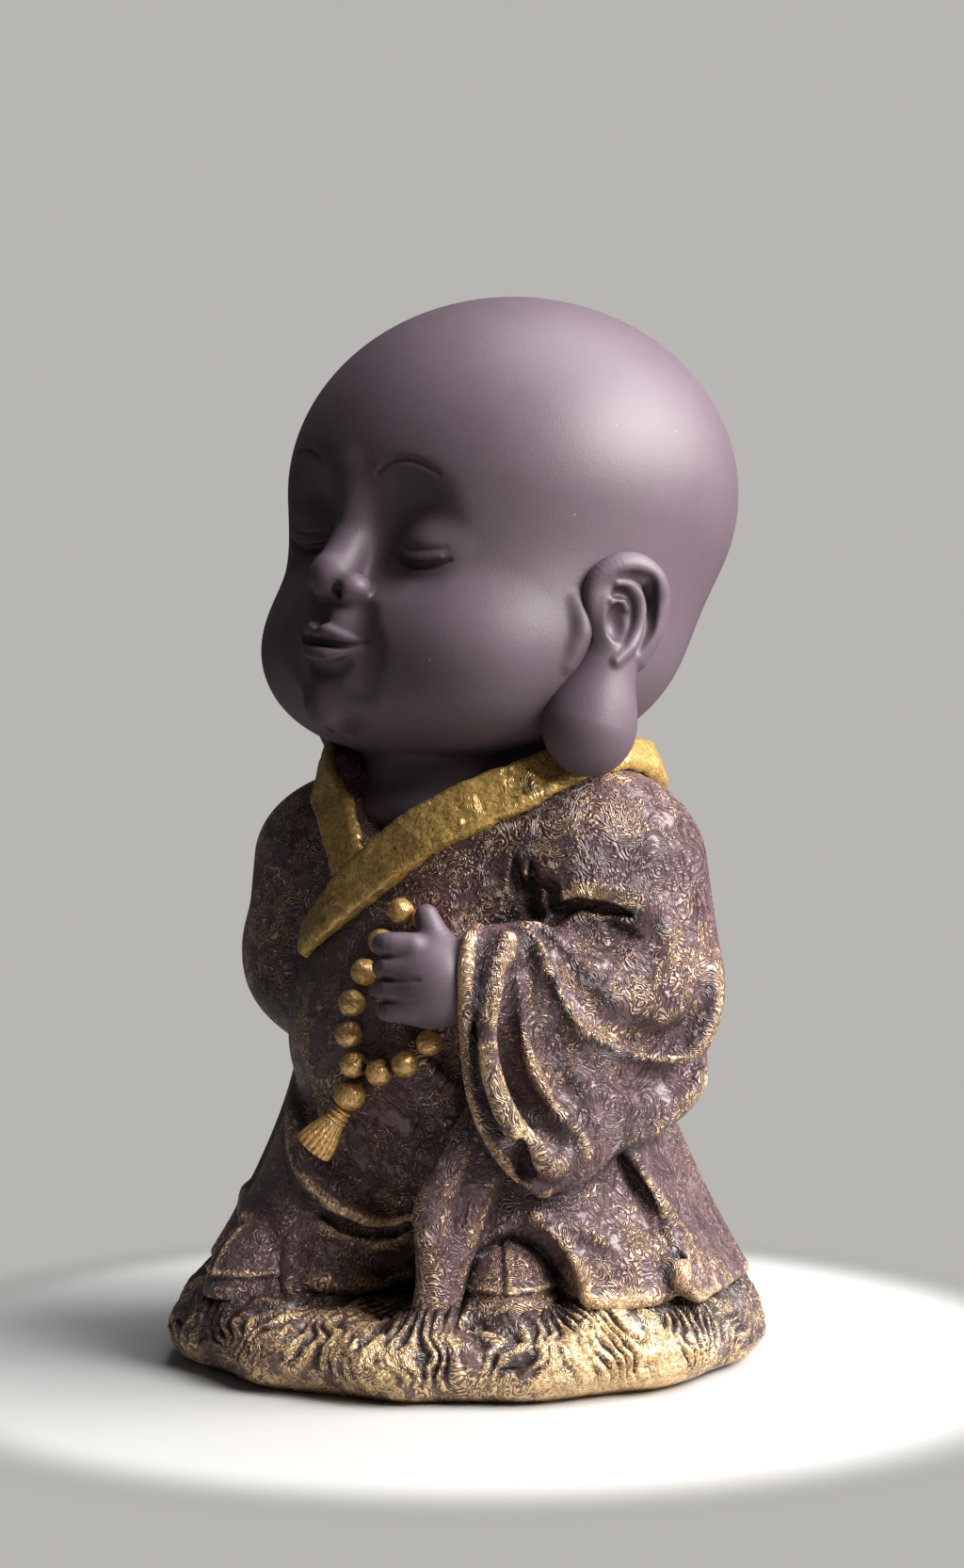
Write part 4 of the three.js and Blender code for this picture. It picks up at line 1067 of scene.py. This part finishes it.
def use(tree, effect, **values):
    """Places a shared effect, with input names written without spaces."""
    named = {label.replace("_", " "): value for label, value in values.items()}
    return place(tree, "ShaderNodeGroup", named, node_tree=effect).outputs


def finish_tree(name):
    finish = bpy.data.materials.new(name)
    finish.use_nodes = True
    return finish, finish.node_tree, finish.node_tree.nodes["Principled BSDF"]


def bumps(tree, shader, height, distance):
    """Relief of a height from 0 to 1, as deep as distance in millimetres."""
    values = {"Height": height, "Distance": distance * MM, "Strength": 1.0}
    tree.links.new(place(tree, "ShaderNodeBump", values).outputs["Normal"], shader.inputs["Normal"])


def measured(tree, label):
    return place(tree, "ShaderNodeAttribute", attribute_name=label).outputs["Fac"]


def roughen(tree, shader, value, low, high):
    """Sets the roughness from low, where a value is 0, to high, where it is 1."""
    rough = place(tree, "ShaderNodeMapRange", {"Value": value, "To Min": low, "To Max": high})
    tree.links.new(rough.outputs["Result"], shader.inputs["Roughness"])


def bare_clay_finish():
    finish, tree, shader = finish_tree("bare_clay")
    grain = use(tree, GRAIN, Grain=0.28)
    clay = tint(tree, grain["Shade"], colour(88, 73, 82), colour(106, 89, 99))
    # Painted shade: the clay turns dark where the skin is sunk or tucked under a neighbouring part.
    clay = tint(tree, measured(tree, "hollow"), clay, colour(44, 32, 35))
    specks = use(tree, DUST, Speck_Gap=5.5, Speck_Size=0.11)["Mask"]
    tree.links.new(tint(tree, specks, clay, colour(176, 160, 158)), shader.inputs["Base Color"])
    roughen(tree, shader, grain["Shade"], 0.42, 0.58)
    bumps(tree, shader, grain["Height"], 0.03)
    return finish


def gilt_finish(name, base, dark, gold, amount, patch, spacing, swirl, lines, depth, rough_gold, shine):
    """Clay under gold paint that is left on ridges and lines, and darkened in the hollows by painted shade.
    """
    base, dark, gold = colour(*base), colour(*dark), colour(*gold)
    dim_gold = (*[0.55 * part for part in gold[:3]], 1)
    finish, tree, shader = finish_tree(name)
    height = use(tree, CRINKLE, Spacing=spacing, Swirl_Size=swirl)["Height"]
    hollow, ridge_mark = measured(tree, "hollow"), measured(tree, "ridge")
    grain = use(tree, GRAIN, Grain=0.3)
    marks = {"Height": height, "Ridge": ridge_mark, "Hollow": hollow}
    mask = use(tree, RUBBED_GOLD, Amount=amount, Patch_Size=patch, Line_Share=lines, **marks)["Gold"]
    clay = tint(tree, between(tree, grain["Height"], 0.15, 0.7), dark, base)
    clay = tint(tree, times(tree, grain["Shade"], 0.35), clay, dark)
    # Painted shade: the clay turns to the dark colour in the hollows.
    clay = tint(tree, between(tree, hollow, 0.05, 0.8), clay, dark)
    # The gold is darker where the fine grain sinks.
    tone = tint(tree, between(tree, grain["Height"], 0.35, 0.6), dim_gold, gold)
    tree.links.new(tint(tree, mask, clay, tone), shader.inputs["Base Color"])
    tree.links.new(times(tree, mask, shine), shader.inputs["Metallic"])
    roughen(tree, shader, mask, 0.4, rough_gold)
    bumps(tree, shader, plus(tree, height, times(tree, grain["Height"], 0.4)), depth)
    shader.inputs["Specular IOR Level"].default_value = 0.8
    return finish


bare_clay = bare_clay_finish()
robe_glaze = gilt_finish(
    "robe_glaze", base=(116, 85, 89), dark=(54, 36, 37), gold=(232, 192, 150),
    amount=-1.5, patch=15, spacing=0.85, swirl=3.8, lines=2, depth=0.25, rough_gold=0.4, shine=0.35,
)
mat_glaze = gilt_finish(
    "mat_glaze", base=(124, 91, 84), dark=(58, 40, 36), gold=(238, 202, 152),
    amount=-0.25, patch=10, spacing=1, swirl=3, lines=0.8, depth=0.13, rough_gold=0.42, shine=0.5,
)
gold_leaf = gilt_finish(
    "gold_leaf", base=(122, 92, 50), dark=(66, 44, 26), gold=(228, 184, 106),
    amount=2.1, patch=6, spacing=1.2, swirl=5, lines=0.25, depth=0.06, rough_gold=0.34, shine=0.5,
)
bead_gold = gilt_finish(
    "bead_gold", base=(120, 84, 50), dark=(58, 38, 26), gold=(228, 180, 112),
    amount=1.5, patch=3, spacing=1.5, swirl=4, lines=0.3, depth=0.05, rough_gold=0.34, shine=0.5,
)


# Robe, shoes, hands and head

figure = join(0.4, cloth, left_shoe, right_shoe)
owners = {
    "robe_body": torso,
    "left_sleeve": left_sleeve,
    "right_sleeve": right_sleeve,
    "under_robe": legs,
    "coat_skirt": coat,
    "front_drape": drape,
}
for node, own in owners.items():
    rest = [other for name, other in owners.items() if name != node]
    piece(node, share(own, *rest), 0.5, robe_glaze, around=figure)
piece("left_shoe", standing(left_shoe), 0.36, robe_glaze, around=figure)
piece("right_shoe", standing(right_shoe), 0.36, robe_glaze, around=figure)
piece("left_hand", left_fist(), 0.3, bare_clay)
piece("right_hand", right_fist(), 0.4, bare_clay)
piece("head", head_form(), 0.44, bare_clay, rise=HEAD_SEAT)
piece("left_ear", ear_form(0), 0.3, bare_clay, rise=HEAD_SEAT)
piece("right_ear", mirrored(ear_form(RIGHT_EAR_BACK)), 0.4, bare_clay, rise=HEAD_SEAT)

# Collar bands: the CAD strips, rounded and beaten


def lumps(points, size, seed):
    """Smooth random heights from -1 to 1, with hills about as wide as size."""
    table = np.random.default_rng(seed).uniform(-1, 1, (32, 32, 32))
    spots = points / size + 1000
    cells = np.floor(spots).astype(int)
    part = spots - cells
    part = part * part * (3 - 2 * part)
    total = 0
    for corner in np.ndindex(2, 2, 2):
        weight = np.prod(np.where(corner, part, 1 - part), 1)
        total = total + weight * table[tuple(((cells + corner) % 32).T)]
    return total


def places_of(mesh):
    places = np.zeros(len(mesh.vertices) * 3, np.float32)
    mesh.vertices.foreach_get("co", places)
    return places.reshape(-1, 3) / MM


def outward_of(mesh):
    normals = np.zeros(len(mesh.vertices) * 3, np.float32)
    mesh.vertex_normals.foreach_get("vector", normals)
    return normals.reshape(-1, 3)


def smoothed(node, voxel, rounds):
    """A CAD node under an even net, with its edges rounded."""
    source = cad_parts[node]
    copy = add("strip", source.data.copy())
    copy.data.transform(source.matrix_world)
    net_step = copy.modifiers.new("net", "REMESH")
    net_step.mode = "VOXEL"
    net_step.voxel_size = voxel * FINE * MM
    round_step = copy.modifiers.new("round", "SMOOTH")
    round_step.factor = 0.5
    round_step.iterations = rounds
    mesh = evaluated(copy, node)
    mesh.materials.clear()
    return mesh


def shift(mesh, amount):
    """Moves each vertex out along its normal."""
    places = places_of(mesh) + outward_of(mesh) * amount[:, None]
    mesh.vertices.foreach_set("co", (places * MM).astype(np.float32).ravel())
    mesh.update()


def band(node):
    """A gold band of the collar, thicker than the CAD strip and beaten by hand."""
    mesh = smoothed(node, 0.32, 14)
    places = places_of(mesh)
    beaten = 0.16 * lumps(places, 1.7, 1) + 0.1 * lumps(places, 0.8, 2)
    shift(mesh, 0.32 + beaten)
    # Painted shade: the dents of the beaten band are marked as hollows, which the finish darkens.
    mark(mesh, "hollow", 0.25 - 2.2 * beaten)
    mark(mesh, "ridge", 0.1 + 2 * beaten)
    mesh.materials.append(gold_leaf)
    keep(node, mesh)


band("left_collar_band")
band("right_collar_band")

# Beads and tassel, from Geometry Nodes


def geometry_group(name, inputs):
    tree = bpy.data.node_groups.new(name, "GeometryNodeTree")
    for label, (kind, value) in inputs.items():
        socket = tree.interface.new_socket(label, in_out="INPUT", socket_type=kind)
        socket.default_value = value
    tree.interface.new_socket("Geometry", in_out="OUTPUT", socket_type="NodeSocketGeometry")
    return tree, place(tree, "NodeGroupInput").outputs


def grown(tree, name, **values):
    """The mesh that a Geometry Nodes tree makes with its own values."""
    thing = add(name, bpy.data.meshes.new(name))
    step = thing.modifiers.new("grow", "NODES")
    step.node_group = tree
    for item in tree.interface.items_tree:
        label = item.name.replace(" ", "_")
        if item.in_out == "INPUT" and label in values:
            step[item.identifier] = values[label]
    return evaluated(thing, name)


def finished(tree, geometry, finish):
    whole = place(tree, "GeometryNodeRealizeInstances", {"Geometry": geometry}).outputs["Geometry"]
    dressed = place(tree, "GeometryNodeSetMaterial", {"Geometry": whole, "Material": finish})
    place(tree, "NodeGroupOutput", {"Geometry": dressed.outputs["Geometry"]})


def bead_tree():
    """A round bead, pressed by hand and a little flat in places."""
    number = "NodeSocketFloat"
    inputs = {"Radius": (number, 2.3 * MM), "Dent": (number, 0.12), "Seed": (number, 0.0)}
    tree, given = geometry_group("pressed_bead", inputs)
    icosphere = {"Radius": given["Radius"], "Subdivisions": 5}
    round_mesh = place(tree, "GeometryNodeMeshIcoSphere", icosphere).outputs["Mesh"]
    spot = place(tree, "GeometryNodeInputPosition").outputs["Position"]
    out = place(tree, "ShaderNodeVectorMath", {0: spot}, operation="NORMALIZE").outputs["Vector"]
    facets = {"Vector": out, "W": given["Seed"], "Scale": 1.5, "Smoothness": 0.35}
    cells = place(tree, "ShaderNodeTexVoronoi", facets, voronoi_dimensions="4D", feature="SMOOTH_F1")
    dent = times(tree, times(tree, cells.outputs["Distance"], given["Dent"]), given["Radius"])
    inward = {0: out, "Scale": times(tree, dent, -1)}
    move = place(tree, "ShaderNodeVectorMath", inward, operation="SCALE").outputs["Vector"]
    pressed = place(tree, "GeometryNodeSetPosition", {"Geometry": round_mesh, "Offset": move})
    finished(tree, pressed.outputs["Geometry"], bead_gold)
    return tree


def tassel_tree():
    """Strands that hang from the cap and spread to the foot."""
    inputs = {
        "Strands": ("NodeSocketInt", 17),
        "Length": ("NodeSocketFloat", 6 * MM),
        "Top Radius": ("NodeSocketFloat", 1 * MM),
        "Foot Radius": ("NodeSocketFloat", 2.7 * MM),
        "Strand Radius": ("NodeSocketFloat", 0.6 * MM),
    }
    tree, given = geometry_group("tassel_strands", inputs)
    top, foot, length = given["Top Radius"], given["Foot Radius"], given["Length"]

    def vector(**parts):
        return place(tree, "ShaderNodeCombineXYZ", parts).outputs["Vector"]

    def spot_at(radius, share):
        return vector(X=radius, Z=times(tree, length, -share))

    bow = {
        "Resolution": 14,
        "Start": spot_at(top, 0),
        "Start Handle": spot_at(times(tree, top, 1.5), 0.3),
        "End Handle": spot_at(times(tree, foot, 1.05), 0.7),
        "End": spot_at(foot, 1),
    }
    line = place(tree, "GeometryNodeCurvePrimitiveBezierSegment", bow).outputs["Curve"]
    circle = {"Resolution": 10, "Radius": given["Strand Radius"]}
    section = place(tree, "GeometryNodeCurvePrimitiveCircle", circle).outputs["Curve"]
    skin = {"Curve": line, "Profile Curve": section, "Fill Caps": True}
    strand = place(tree, "GeometryNodeCurveToMesh", skin).outputs["Mesh"]
    ring = place(tree, "GeometryNodeMeshCircle", {"Vertices": given["Strands"], "Radius": 0.001 * MM})
    number = place(tree, "GeometryNodeInputIndex").outputs["Index"]
    turn = vector(Z=times(tree, over(tree, number, given["Strands"]), 2 * math.pi))
    spread = {"Points": ring.outputs["Mesh"], "Instance": strand, "Rotation": turn}
    strands = place(tree, "GeometryNodeInstanceOnPoints", spread).outputs["Instances"]
    core = {"Radius Top": top, "Radius Bottom": foot, "Depth": length}
    cone = place(tree, "GeometryNodeMeshCone", core).outputs["Mesh"]
    lowered = {"Geometry": cone, "Translation": spot_at(0.0, 1)}
    core_mesh = place(tree, "GeometryNodeTransform", lowered).outputs["Geometry"]
    both_parts = place(tree, "GeometryNodeJoinGeometry", {"Geometry": strands})
    tree.links.new(core_mesh, both_parts.inputs["Geometry"])
    finished(tree, both_parts.outputs["Geometry"], bead_gold)
    return tree


def hang(node, mesh, spot, way=None):
    """Moves a mesh to its spot, after turning one that hangs along -z to its way."""
    if way is not None:
        mesh.transform(Vector(way).to_track_quat("-Z", "Y").to_matrix().to_4x4())
    mesh.transform(Matrix.Translation(Vector(spot) * MM))
    keep(node, mesh)


bead_nodes = ["bead_%02d" % n for n in range(1, 14)] + ["guru_bead"]
bead_middles = np.array([np.mean(corners(node), 0) for node in bead_nodes])
pressed_bead = bead_tree()
for n, node in enumerate(bead_nodes):
    low, high = corners(node)
    radius = float(np.mean(high - low)) / 2 + 0.16
    mesh = grown(pressed_bead, node, Radius=radius * MM, Dent=0.13, Seed=3.7 * n)
    places = places_of(mesh) + bead_middles[n]
    gaps = np.sort(np.stack([lengths(places - middle) for middle in bead_middles], 1), 1)[:, 1] - radius
    # Painted shade: each bead is marked as hollow where it comes close to its neighbours, so the finish
    # darkens it there.
    mark(mesh, "hollow", np.exp(-gaps / 0.7))
    mark(mesh, "ridge", 0.3 * np.clip(gaps / 2, 0, 1))
    hang(node, mesh, bead_middles[n])

cap_middle = np.mean(corners("tassel_cap"), 0)
tassel_middle = np.mean(corners("tassel"), 0)
tassel_way = (tassel_middle - cap_middle) / np.linalg.norm(tassel_middle - cap_middle)
tassel_mesh = grown(tassel_tree(), "tassel")
strand_places = places_of(tassel_mesh)
strand_out = outward_of(tassel_mesh)
middle_way = strand_places[:, :2] / np.maximum(np.hypot(*strand_places[:, :2].T), 0.1)[:, None]
facing = np.clip(np.sum(strand_out[:, :2] * middle_way, 1), 0, 1)
# Painted shade: the sides of the strands that face inward, between the strands, are marked as hollows to be
# darkened.
mark(tassel_mesh, "hollow", 1.1 - 1.4 * facing)
mark(tassel_mesh, "ridge", 0.3 * facing)
hang("tassel", tassel_mesh, cap_middle + tassel_way * 0.8, tassel_way)


def cap_form(points):
    """A collar of two rings round the top of the strands."""
    spots = points - cap_middle + [0, 0, MAT_TOP]
    along = spots @ tassel_way
    across = lengths(spots - along[:, None] * tassel_way)
    rings = 0.22 * np.cos(along * 2 * np.pi / 0.95)
    return rounded(across - 1.55 - rings - 0.12 * along, np.abs(along) - 1.15, 0.3)


piece("tassel_cap", cap_form, 0.12, bead_gold)

# Mat: wavy straw strands, heaped against the robe and the shoes

MAT_PROFILE = np.array(
    [
        (20, -0.6), (34, -0.6), (40.3, -0.5), (44.8, -1.4), (47.4, -3.1),
        (48.8, -5.9), (48.6, -8.3), (46.6, -11.1), (42.8, -12.5),
    ]
)
MAT_REACH = 49.4
MAT_SLOPE_LENGTH = 44
MAT_BULGE_TURN = math.radians(-11)
MAT_BULGE_WIDTH = 0.24
STRAWS_ROUND_MAT = 50


def mat_skin(turns, steps):
    """Rows of places over the mat's top and side down to its foot, with the ways out of the skin."""
    ends = np.linspace(0, 1, len(MAT_PROFILE))
    shares = np.linspace(0, 1, steps)
    profile = np.stack([np.interp(shares, ends, MAT_PROFILE[:, n]) for n in (0, 1)], 1)
    for _ in range(steps // 12):
        profile[1:-1] = (profile[:-2] + 2 * profile[1:-1] + profile[2:]) / 4
    slope = np.gradient(profile, axis=0)
    out = np.stack([-slope[:, 1], slope[:, 0]], 1) / np.hypot(slope[:, 0], slope[:, 1])[:, None]
    turn = np.arange(turns) * 2 * np.pi / turns
    stretch = 0.8 * np.cos(12 * turn) + 2.2 * np.sin(2 * turn)
    radius = profile[:, None, 0] + (profile[:, None, 0] / MAT_PROFILE[:, 0].max()) * stretch
    way = np.stack([np.cos(turn), np.sin(turn)], 1)
    rise = np.repeat(profile[:, 1], turns).reshape(steps, turns, 1)
    spots = np.concatenate([radius[:, :, None] * way, rise], 2)
    return spots, out, turn, shares


def straws(flat, angle, share):
    """Height of the straw over the mat's skin, with marks for its hollows and ridges."""
    rise = flat[:, 2]
    along = share * MAT_SLOPE_LENGTH
    loose = lumps(flat, 9, 11)
    lock = lumps(flat, 4, 12)
    phase = STRAWS_ROUND_MAT * angle + 6 * loose + 2.8 * lock + 0.1 * along * np.sin(3 * angle + 2 * loose)
    fray = np.clip(0.62 + 0.9 * lumps(flat, 4.5, 16), 0.12, 1)
    low_edge = np.clip((rise + 10.6) / 4, 0.2, 1)
    strand = 1 - (1 - np.abs(np.sin(phase)) ** 0.8) * fray * low_edge
    fine = np.abs(np.sin(2.3 * phase + 2.5 * lumps(flat, 2.4, 13)))
    from_bulge = np.mod(angle - MAT_BULGE_TURN + np.pi, 2 * np.pi) - np.pi
    near_bulge = stripe(from_bulge, 0, MAT_BULGE_WIDTH)
    pits = np.clip(lumps(flat, 1.5, 14) - 0.3 + 0.25 * near_bulge, 0, 1)
    gap = np.maximum(figure(flat.astype(np.float32)), 0)
    heap = 2.4 * stripe(gap, 0, 3) * np.clip((rise + 6) / 5, 0, 1)
    bulge = 1.6 * near_bulge * np.clip(1 - np.abs(along - 26) / 16, 0, 1)
    tufts = 0.9 * np.clip(lumps(flat, 6, 15) + 0.1, -1, 1)
    height = 1.6 * (strand - 1) + 0.3 * low_edge * (fine - 1) - 0.6 * pits * low_edge
    height = height + 0.8 * (tufts - 0.6) + heap + bulge
    hold = np.clip(share / 0.1, 0, 1) * np.clip((rise + 12.4) / 2.2, 0, 1)
    # Painted shade: the gaps between straws, the pits and the mat next to the robe are marked as hollows,
    # which the finish darkens; the same mark keeps gold off them.
    hollow = (1 - strand) * 1.1 + 0.5 * pits + 0.9 * np.exp(-gap / 4)
    ridge_mark = np.clip(strand - 0.6, 0, 1) * 0.8 + 0.4 * near_bulge
    return height * hold, hollow, ridge_mark


def mat_mesh():
    turns, steps = ((1050, 88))
    spots, out, turn, shares = mat_skin(turns, steps)
    height, hollow, ridge_mark = straws(spots.reshape(-1, 3), np.tile(turn, steps), np.repeat(shares, turns))
    lift = height.reshape(steps, turns)
    way = np.stack([np.cos(turn), np.sin(turn)], 1)
    spots[:, :, :2] += (lift * out[:, None, 0])[:, :, None] * way
    spots[:, :, 2] += lift * out[:, None, 1]
    spots[:, :, :2] *= MAT_REACH / np.abs(spots[:, :, :2]).max()
    places = np.concatenate([spots.reshape(-1, 3), [[0, 0, MAT_PROFILE[0, 1]], [0, 0, MAT_PROFILE[-1, 1]]]])
    ring = np.arange(turns)
    next_ring = (ring + 1) % turns
    rows = np.arange(steps - 1)[:, None] * turns
    quads = np.stack([rows + ring, rows + turns + ring, rows + turns + next_ring, rows + next_ring], 2)
    last = (steps - 1) * turns
    top = np.stack([np.full(turns, len(places) - 2), ring, next_ring], 1)
    foot = np.stack([np.full(turns, len(places) - 1), last + next_ring, last + ring], 1)
    faces = quads.reshape(-1, 4).tolist() + top.tolist() + foot.tolist()
    mesh = mesh_of("base_mat", places + [0, 0, MAT_TOP], faces)
    mark(mesh, "hollow", np.append(hollow, [0, 0]))
    mark(mesh, "ridge", np.append(ridge_mark, [0, 0]))
    mesh.materials.append(mat_glaze)
    return mesh


keep("base_mat", mat_mesh())
for node, thing in pieces.items():
    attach(thing, "root")
    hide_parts(node)

# Camera, lights and floor


def aim(thing, place, target):
    """Puts a camera or a lamp in its place and points it at a target."""
    thing.location = place
    toward = Vector(target) - Vector(place)
    thing.rotation_euler = toward.to_track_quat("-Z", "Y").to_euler()


camera_data = bpy.data.cameras.new("camera")
camera_data.sensor_fit = "VERTICAL"
camera_data.sensor_height = 36
camera_data.lens = 72.4
camera_data.clip_start = 0.01
camera = add("camera", camera_data)
CAMERA_PLACE = Vector((0.3722, -0.3688, 0.1144))
DOWN = math.radians(2.2)
ALONG = Vector((-math.cos(DOWN), math.cos(DOWN), -math.sin(DOWN) * math.sqrt(2)))
aim(camera, CAMERA_PLACE, CAMERA_PLACE + ALONG)
scene.camera = camera


def area_light(name, place, target, size, power, shade):
    data = bpy.data.lights.new(name, "AREA")
    data.shape = "DISK"
    data.size = size
    data.energy = power
    data.color = shade
    lamp = add(name, data)
    aim(lamp, place, target)


FIGURE_MIDDLE = (0, 0, 0.09)
area_light("top_light", (0.2, 0.25, 0.95), FIGURE_MIDDLE, 0.9, 9, (0.95, 0.97, 1))
area_light("key_light", (0.5, 0.46, 0.52), FIGURE_MIDDLE, 0.6, 10, (1, 0.985, 0.96))
area_light("side_light", (0.8, 0.16, 0.6), FIGURE_MIDDLE, 0.5, 14, (1, 0.99, 0.98))

BACKDROP = (0.48, 0.465, 0.445, 1)
world = bpy.data.worlds.new("studio")
scene.world = world
world.use_nodes = True
sky = world.node_tree
sky.nodes.clear()
plain_light = place(sky, "ShaderNodeBackground", {"Color": (0.95, 0.96, 1, 1), "Strength": 0.05}).outputs[0]
backdrop = place(sky, "ShaderNodeBackground", {"Color": BACKDROP}).outputs[0]
seen_directly = place(sky, "ShaderNodeLightPath").outputs["Is Camera Ray"]
shown = place(sky, "ShaderNodeMixShader", {0: seen_directly, 1: plain_light, 2: backdrop}).outputs[0]
place(sky, "ShaderNodeOutputWorld", {"Surface": shown})

FLOOR_REACH = 3.0
FLOOR_FADE = (0.086, 0.112)
floor_mesh = bpy.data.meshes.new("floor")
floor_corners = [(FLOOR_REACH * x, FLOOR_REACH * y, 0) for x, y in ((-1, -1), (1, -1), (1, 1), (-1, 1))]
floor_mesh.from_pydata(floor_corners, [], [(0, 1, 2, 3)])
floor = add("floor", floor_mesh)
floor_finish, ground, paint = finish_tree("pale_floor")
paint.inputs["Roughness"].default_value = 0.55
spot = place(ground, "ShaderNodeTexCoord").outputs["Object"]
distance = place(ground, "ShaderNodeVectorMath", {0: spot}, operation="LENGTH").outputs["Value"]
far = between(ground, distance, *FLOOR_FADE)
floor_colour = tint(ground, far, (0.52, 0.51, 0.495, 1), (0.12, 0.12, 0.115, 1))
ground.links.new(floor_colour, paint.inputs["Base Color"])
camera_ray = place(ground, "ShaderNodeLightPath").outputs["Is Camera Ray"]
far_seen = maths(ground, "MULTIPLY", far, camera_ray)
beyond = place(ground, "ShaderNodeEmission", {"Color": BACKDROP}).outputs[0]
whole = place(ground, "ShaderNodeMixShader", {0: far_seen, 1: paint.outputs[0], 2: beyond}).outputs[0]
ground.links.new(whole, ground.nodes["Material Output"].inputs["Surface"])
floor_mesh.materials.append(floor_finish)

scene.view_settings.view_transform = "Standard"

bpy.context.view_layer.update()
